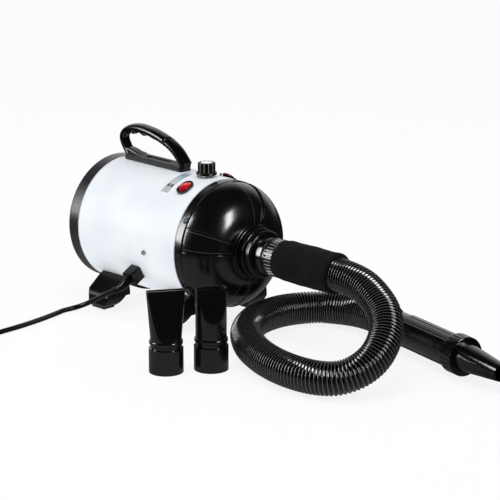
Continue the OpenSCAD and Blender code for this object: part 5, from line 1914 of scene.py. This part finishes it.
@dataclass
class Controls(Assembly):
    """The speed knob and the two lit rocker switches."""

    title: ClassVar[str] = "controls"
    finishes: ClassVar[Finishes] = {
        GLOSS: ("heat_switch", "power_switch"),
        CAP_ALLOY: ("knob_cap",),
        RED: ("power_rocker",),
        UNLIT_SHADED_RED: ("heat_rocker",),
        STEEL: ("knob_spindle",),
        ZINC: ("potentiometer",),
    }
    roundings: ClassVar[Roundings] = {
        "heat_switch": Rounding(0.0006),
        "power_switch": Rounding(0.0006),
        "heat_rocker": Rounding(0.0008, segments=3),
        "power_rocker": Rounding(0.0008, segments=3),
    }
    knob_x: float = 0.057
    knob_z: float = 0.2005
    knob_r: float = 0.0121
    knob_h: float = 0.016
    skirt_r: float = 0.01425
    skirt_h: float = 0.003
    flutes: int = 12
    per_flute: int = 28
    flute_r: float = 0.0017
    flute_out: float = 0.00025
    # Width in radians of the painted highlight on each land
    land_half: float = 0.055
    recess_r: float = 0.0099
    recess: float = 0.0018
    hollow_r: float = 0.0056
    hollow_h: float = 0.008
    bore_r: float = 0.0034
    bore_h: float = 0.0105
    edge: float = 0.0002

    def rows(self) -> list[tuple[float, float, float]]:
        """Lists the knob's rows from its bore, under its skirt and up to its recess.

        Returns:
            Radius, height and share of the flutes' depth of each row.
        """
        r, top, foot, edge = self.knob_r, self.knob_h, self.skirt_h, self.edge
        floor = top - self.recess
        under = [(self.bore_r, self.bore_h), (self.bore_r, self.hollow_h)]
        under += [(self.hollow_r, self.hollow_h), (self.hollow_r, 0.0)]
        skirt = [(self.skirt_r - edge, 0.0), (self.skirt_r, edge)]
        skirt += [(self.skirt_r - 0.0004, foot - 0.0004), (self.skirt_r - 0.0007, foot)]
        skirt += [(r + 0.0003, foot), (r, foot + 0.0003)]
        drum = [(r, foot + 0.0005, 0.3), (r, foot + 0.0008, 1.0)]
        drum += [(r, z, 1.0) for z in np.linspace(foot + 0.0015, top - 0.0006, 10)]
        drum += [(r - edge, top - edge, 1.0), (r - 2 * edge, top, 1.0)]
        inside = [(self.recess_r + edge, top), (self.recess_r, top - edge)]
        inside += [(self.recess_r, floor), (0.0005, floor)]
        plain = [(q, z, 0.0) for q, z in under + skirt]
        return plain + drum + [(q, z, 0.0) for q, z in inside]

    def pieces(self) -> None:
        """Builds the speed knob: a fluted drum on a skirt, with a recess for its cap."""
        a = round_angles(self.per_flute * self.flutes)
        pitch = 2 * np.pi / self.flutes
        off = ((a / pitch) % 1 - 0.5) * pitch
        centre = self.knob_r + self.flute_out
        inside = np.maximum(self.flute_r**2 - (centre * np.sin(off)) ** 2, 0)
        fluted = np.minimum(self.knob_r, centre * np.cos(off) - np.sqrt(inside))
        depth = np.where(inside > 0, self.knob_r - fluted, 0.0)
        rows = self.rows()[::-1]
        rings = []
        for radius, z, share in rows:
            reach = radius - depth * share
            x, y = self.knob_x + reach * np.sin(a), reach * np.cos(a)
            rings.append(np.stack([x, y, np.full(len(a), self.knob_z + z)], axis=-1))
        knob = Skin.of_rings(np.array(rings)).piece(
            "fluted_knob",
            KNOB_SKIN,
            body="knob",
            replaces=("speed_knob",),
            slot="gloss_black",
            crease=30,
        )
        # Marks the lands between the flutes, on which the knob's finish paints highlight
        # dashes
        land = np.exp(-(((np.abs(off) - pitch / 2) / self.land_half) ** 2))
        self.mark_highlights(knob, np.outer([share for _, _, share in rows], land).ravel())


@dataclass
class Stand(Assembly):
    """The two cradles with their feet, pads and screws."""

    title: ClassVar[str] = "stand"
    finishes: ClassVar[Finishes] = {
        SATIN: ("front_cradle", "rear_cradle"),
        PAD_RUBBER: ("rubber_feet",),
        ZINC: ("cradle_screws",),
    }
    roundings: ClassVar[Roundings] = {
        "front_cradle": Rounding(0.0012),
        "rear_cradle": Rounding(0.0012),
    }


@dataclass
class LooseNozzles(Assembly):
    """The wide and the narrow nozzle that stand beside the machine."""

    title: ClassVar[str] = "loose nozzles"
    finishes: ClassVar[Finishes] = {GLOSS: ("wide_nozzle", "narrow_nozzle")}
    roundings: ClassVar[Roundings] = {
        "wide_nozzle": Rounding(0.0007),
        "narrow_nozzle": Rounding(0.0007),
    }


@dataclass
class Machinery(Assembly):
    """Fan, motor, heater and speed control inside the barrel."""

    title: ClassVar[str] = "machinery"
    finishes: ClassVar[Finishes] = {
        ZINC: ("motor_plate", "motor_bracket", "heat_shield", "thermal_cutout"),
        ALLOY: ("fan_case", "impeller", "diffuser"),
        STEEL: ("fan_nut", "field_core", "armature", "motor_shaft", "motor_bearings"),
        COPPER: ("field_windings", "commutator"),
        SATIN: ("motor_frame",),
        PAD_RUBBER: ("rear_rubber_mount", "front_rubber_mount"),
        CARBON: ("carbon_brushes",),
        LINER_FOAM: ("sound_foam",),
        MICA: ("heater_frame",),
        NICKEL: ("heater_element",),
        BOARD: ("control_board",),
        NYLON: ("board_pillars",),
    }


# ---------------------------------------------------------------- studio


class Use(Enum):
    """What a lamp is for: to light what is matt, or to show in what is glossy."""

    FORM = "form"
    SHINE = "shine"


@dataclass(frozen=True)
class Lamp:
    """An area lamp that is turned to the object, with angles in degrees."""

    name: str
    azimuth: float
    elevation: float
    distance: float
    width: float
    height: float
    power: float
    use: Use

    def make(self, middle: Vector) -> None:
        """Makes the lamp.

        Args:
            middle: The point that it is turned to.
        """
        data = bpy.data.lights.new(self.name, "AREA")
        data.shape, data.size, data.size_y = "RECTANGLE", self.width, self.height
        data.energy = self.power
        obj = bpy.data.objects.new(self.name, data)
        turn = facing(self.azimuth, self.elevation)
        place = middle + turn.col[2].xyz * self.distance
        obj.matrix_world = Matrix.Translation(place) @ turn
        obj.visible_glossy = self.use is Use.SHINE
        obj.visible_diffuse = self.use is Use.FORM
        bpy.context.scene.collection.objects.link(obj)


def facing(azimuth: float, elevation: float) -> Matrix:
    """Returns the turn of a camera or lamp that looks at the object.

    Args:
        azimuth: Angle round the object, in degrees.
        elevation: Angle above the floor, in degrees.

    Returns:
        A matrix whose columns point to the view's right, up and back.
    """
    a, e = math.radians(azimuth), math.radians(elevation)
    right = (math.cos(a), math.sin(a), 0.0)
    up = (-math.sin(a) * math.sin(e), math.cos(a) * math.sin(e), math.cos(e))
    back = (math.sin(a) * math.cos(e), -math.cos(a) * math.cos(e), math.sin(e))
    return Matrix((right, up, back)).transposed().to_4x4()


@dataclass
class Studio:
    """Camera, floor, world and lamps.

    The focal length is in pixels of a picture whose side is the field of that name.
    """

    azimuth: float = 45.23
    elevation: float = 15.78
    eye: Row = (2.2912, -2.1337, 0.9665)
    focal: float = 2351.0
    side: float = 500.0
    sensor: float = 36.0
    clip: tuple[float, float] = (0.1, 30.0)
    middle: Row = (0.08, -0.03, 0.10)
    floor_half: float = 6.0
    floor_lines: int = 24
    floor_z: float = -0.0002
    world_level: float = 0.785
    cove_level: float = 0.9
    lamps: tuple[Lamp, ...] = (
        Lamp("key_lamp", 98.0, 29.0, 1.9, 0.42, 0.88, 17.0, Use.SHINE),
        Lamp("left_lamp", -42.0, 22.0, 2.0, 0.55, 1.40, 26.0, Use.SHINE),
        Lamp("top_lamp", 20.0, 78.0, 1.9, 1.00, 1.00, 12.2, Use.FORM),
    )

    def camera(self) -> None:
        """Makes the camera."""
        data = bpy.data.cameras.new("camera")
        data.sensor_width = self.sensor
        data.lens = self.focal * self.sensor / self.side
        data.clip_start, data.clip_end = self.clip
        obj = bpy.data.objects.new("camera", data)
        turn = facing(self.azimuth, self.elevation)
        obj.matrix_world = Matrix.Translation(Vector(self.eye)) @ turn
        bpy.context.scene.collection.objects.link(obj)
        bpy.context.scene.camera = obj

    def floor(self) -> None:
        """Makes the floor, which isn't part of the object."""
        n = self.floor_lines
        axis = np.linspace(-self.floor_half, self.floor_half, n)
        points = [(x, y, self.floor_z) for y in axis for x in axis]
        faces = [
            (j * n + i, j * n + i + 1, (j + 1) * n + i + 1, (j + 1) * n + i)
            for j in range(n - 1)
            for i in range(n - 1)
        ]
        mesh = bpy.data.meshes.new("table")
        mesh.from_pydata(points, [], faces)
        obj = bpy.data.objects.new("table", mesh)
        bpy.context.scene.collection.objects.link(obj)
        TABLE.dress(obj)

    def world(self) -> None:
        """Makes a world that is white to the camera, and lights the object evenly.

        What shines shows a dark room on the camera's side, and the white cove beyond.
        """
        world = bpy.data.worlds.new("studio")
        world.use_nodes = True
        bpy.context.scene.world = world
        g = Graph("studio_room", world.node_tree)
        x, y, _ = g.axes(g.node("ShaderNodeTexCoord", output="Generated"))
        a = math.radians(self.azimuth)
        away = x * -math.sin(a) + y * math.cos(a)
        cove = away.step(0.5, 0.97) * self.cove_level
        camera, glossy = g.rays()
        level = glossy * cove + (1 - glossy) * self.world_level
        level = camera + (1 - camera) * level
        back = g.node("ShaderNodeBackground", None, {"Color": g.grey(level), "Strength": 1.0})
        g.node("ShaderNodeOutputWorld", None, {"Surface": back})

    def build(self) -> None:
        """Makes the whole studio."""
        self.camera()
        for lamp in self.lamps:
            lamp.make(Vector(self.middle))
        self.floor()
        self.world()
        bpy.context.scene.view_settings.view_transform = "Standard"


def main() -> None:
    """Builds the studio and every sub-assembly."""
    logging.basicConfig(level=logging.INFO, format="%(message)s", stream=sys.stdout)
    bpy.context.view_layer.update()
    Studio().build()
    groups: list[Assembly] = [
        MainsLead(),
        HoseLine(),
        Dome(),
        Housing(),
        Handle(),
        Controls(),
        Stand(),
        LooseNozzles(),
        Machinery(),
    ]
    for group in groups:
        group.build()


if __name__ == "__main__":
    main()
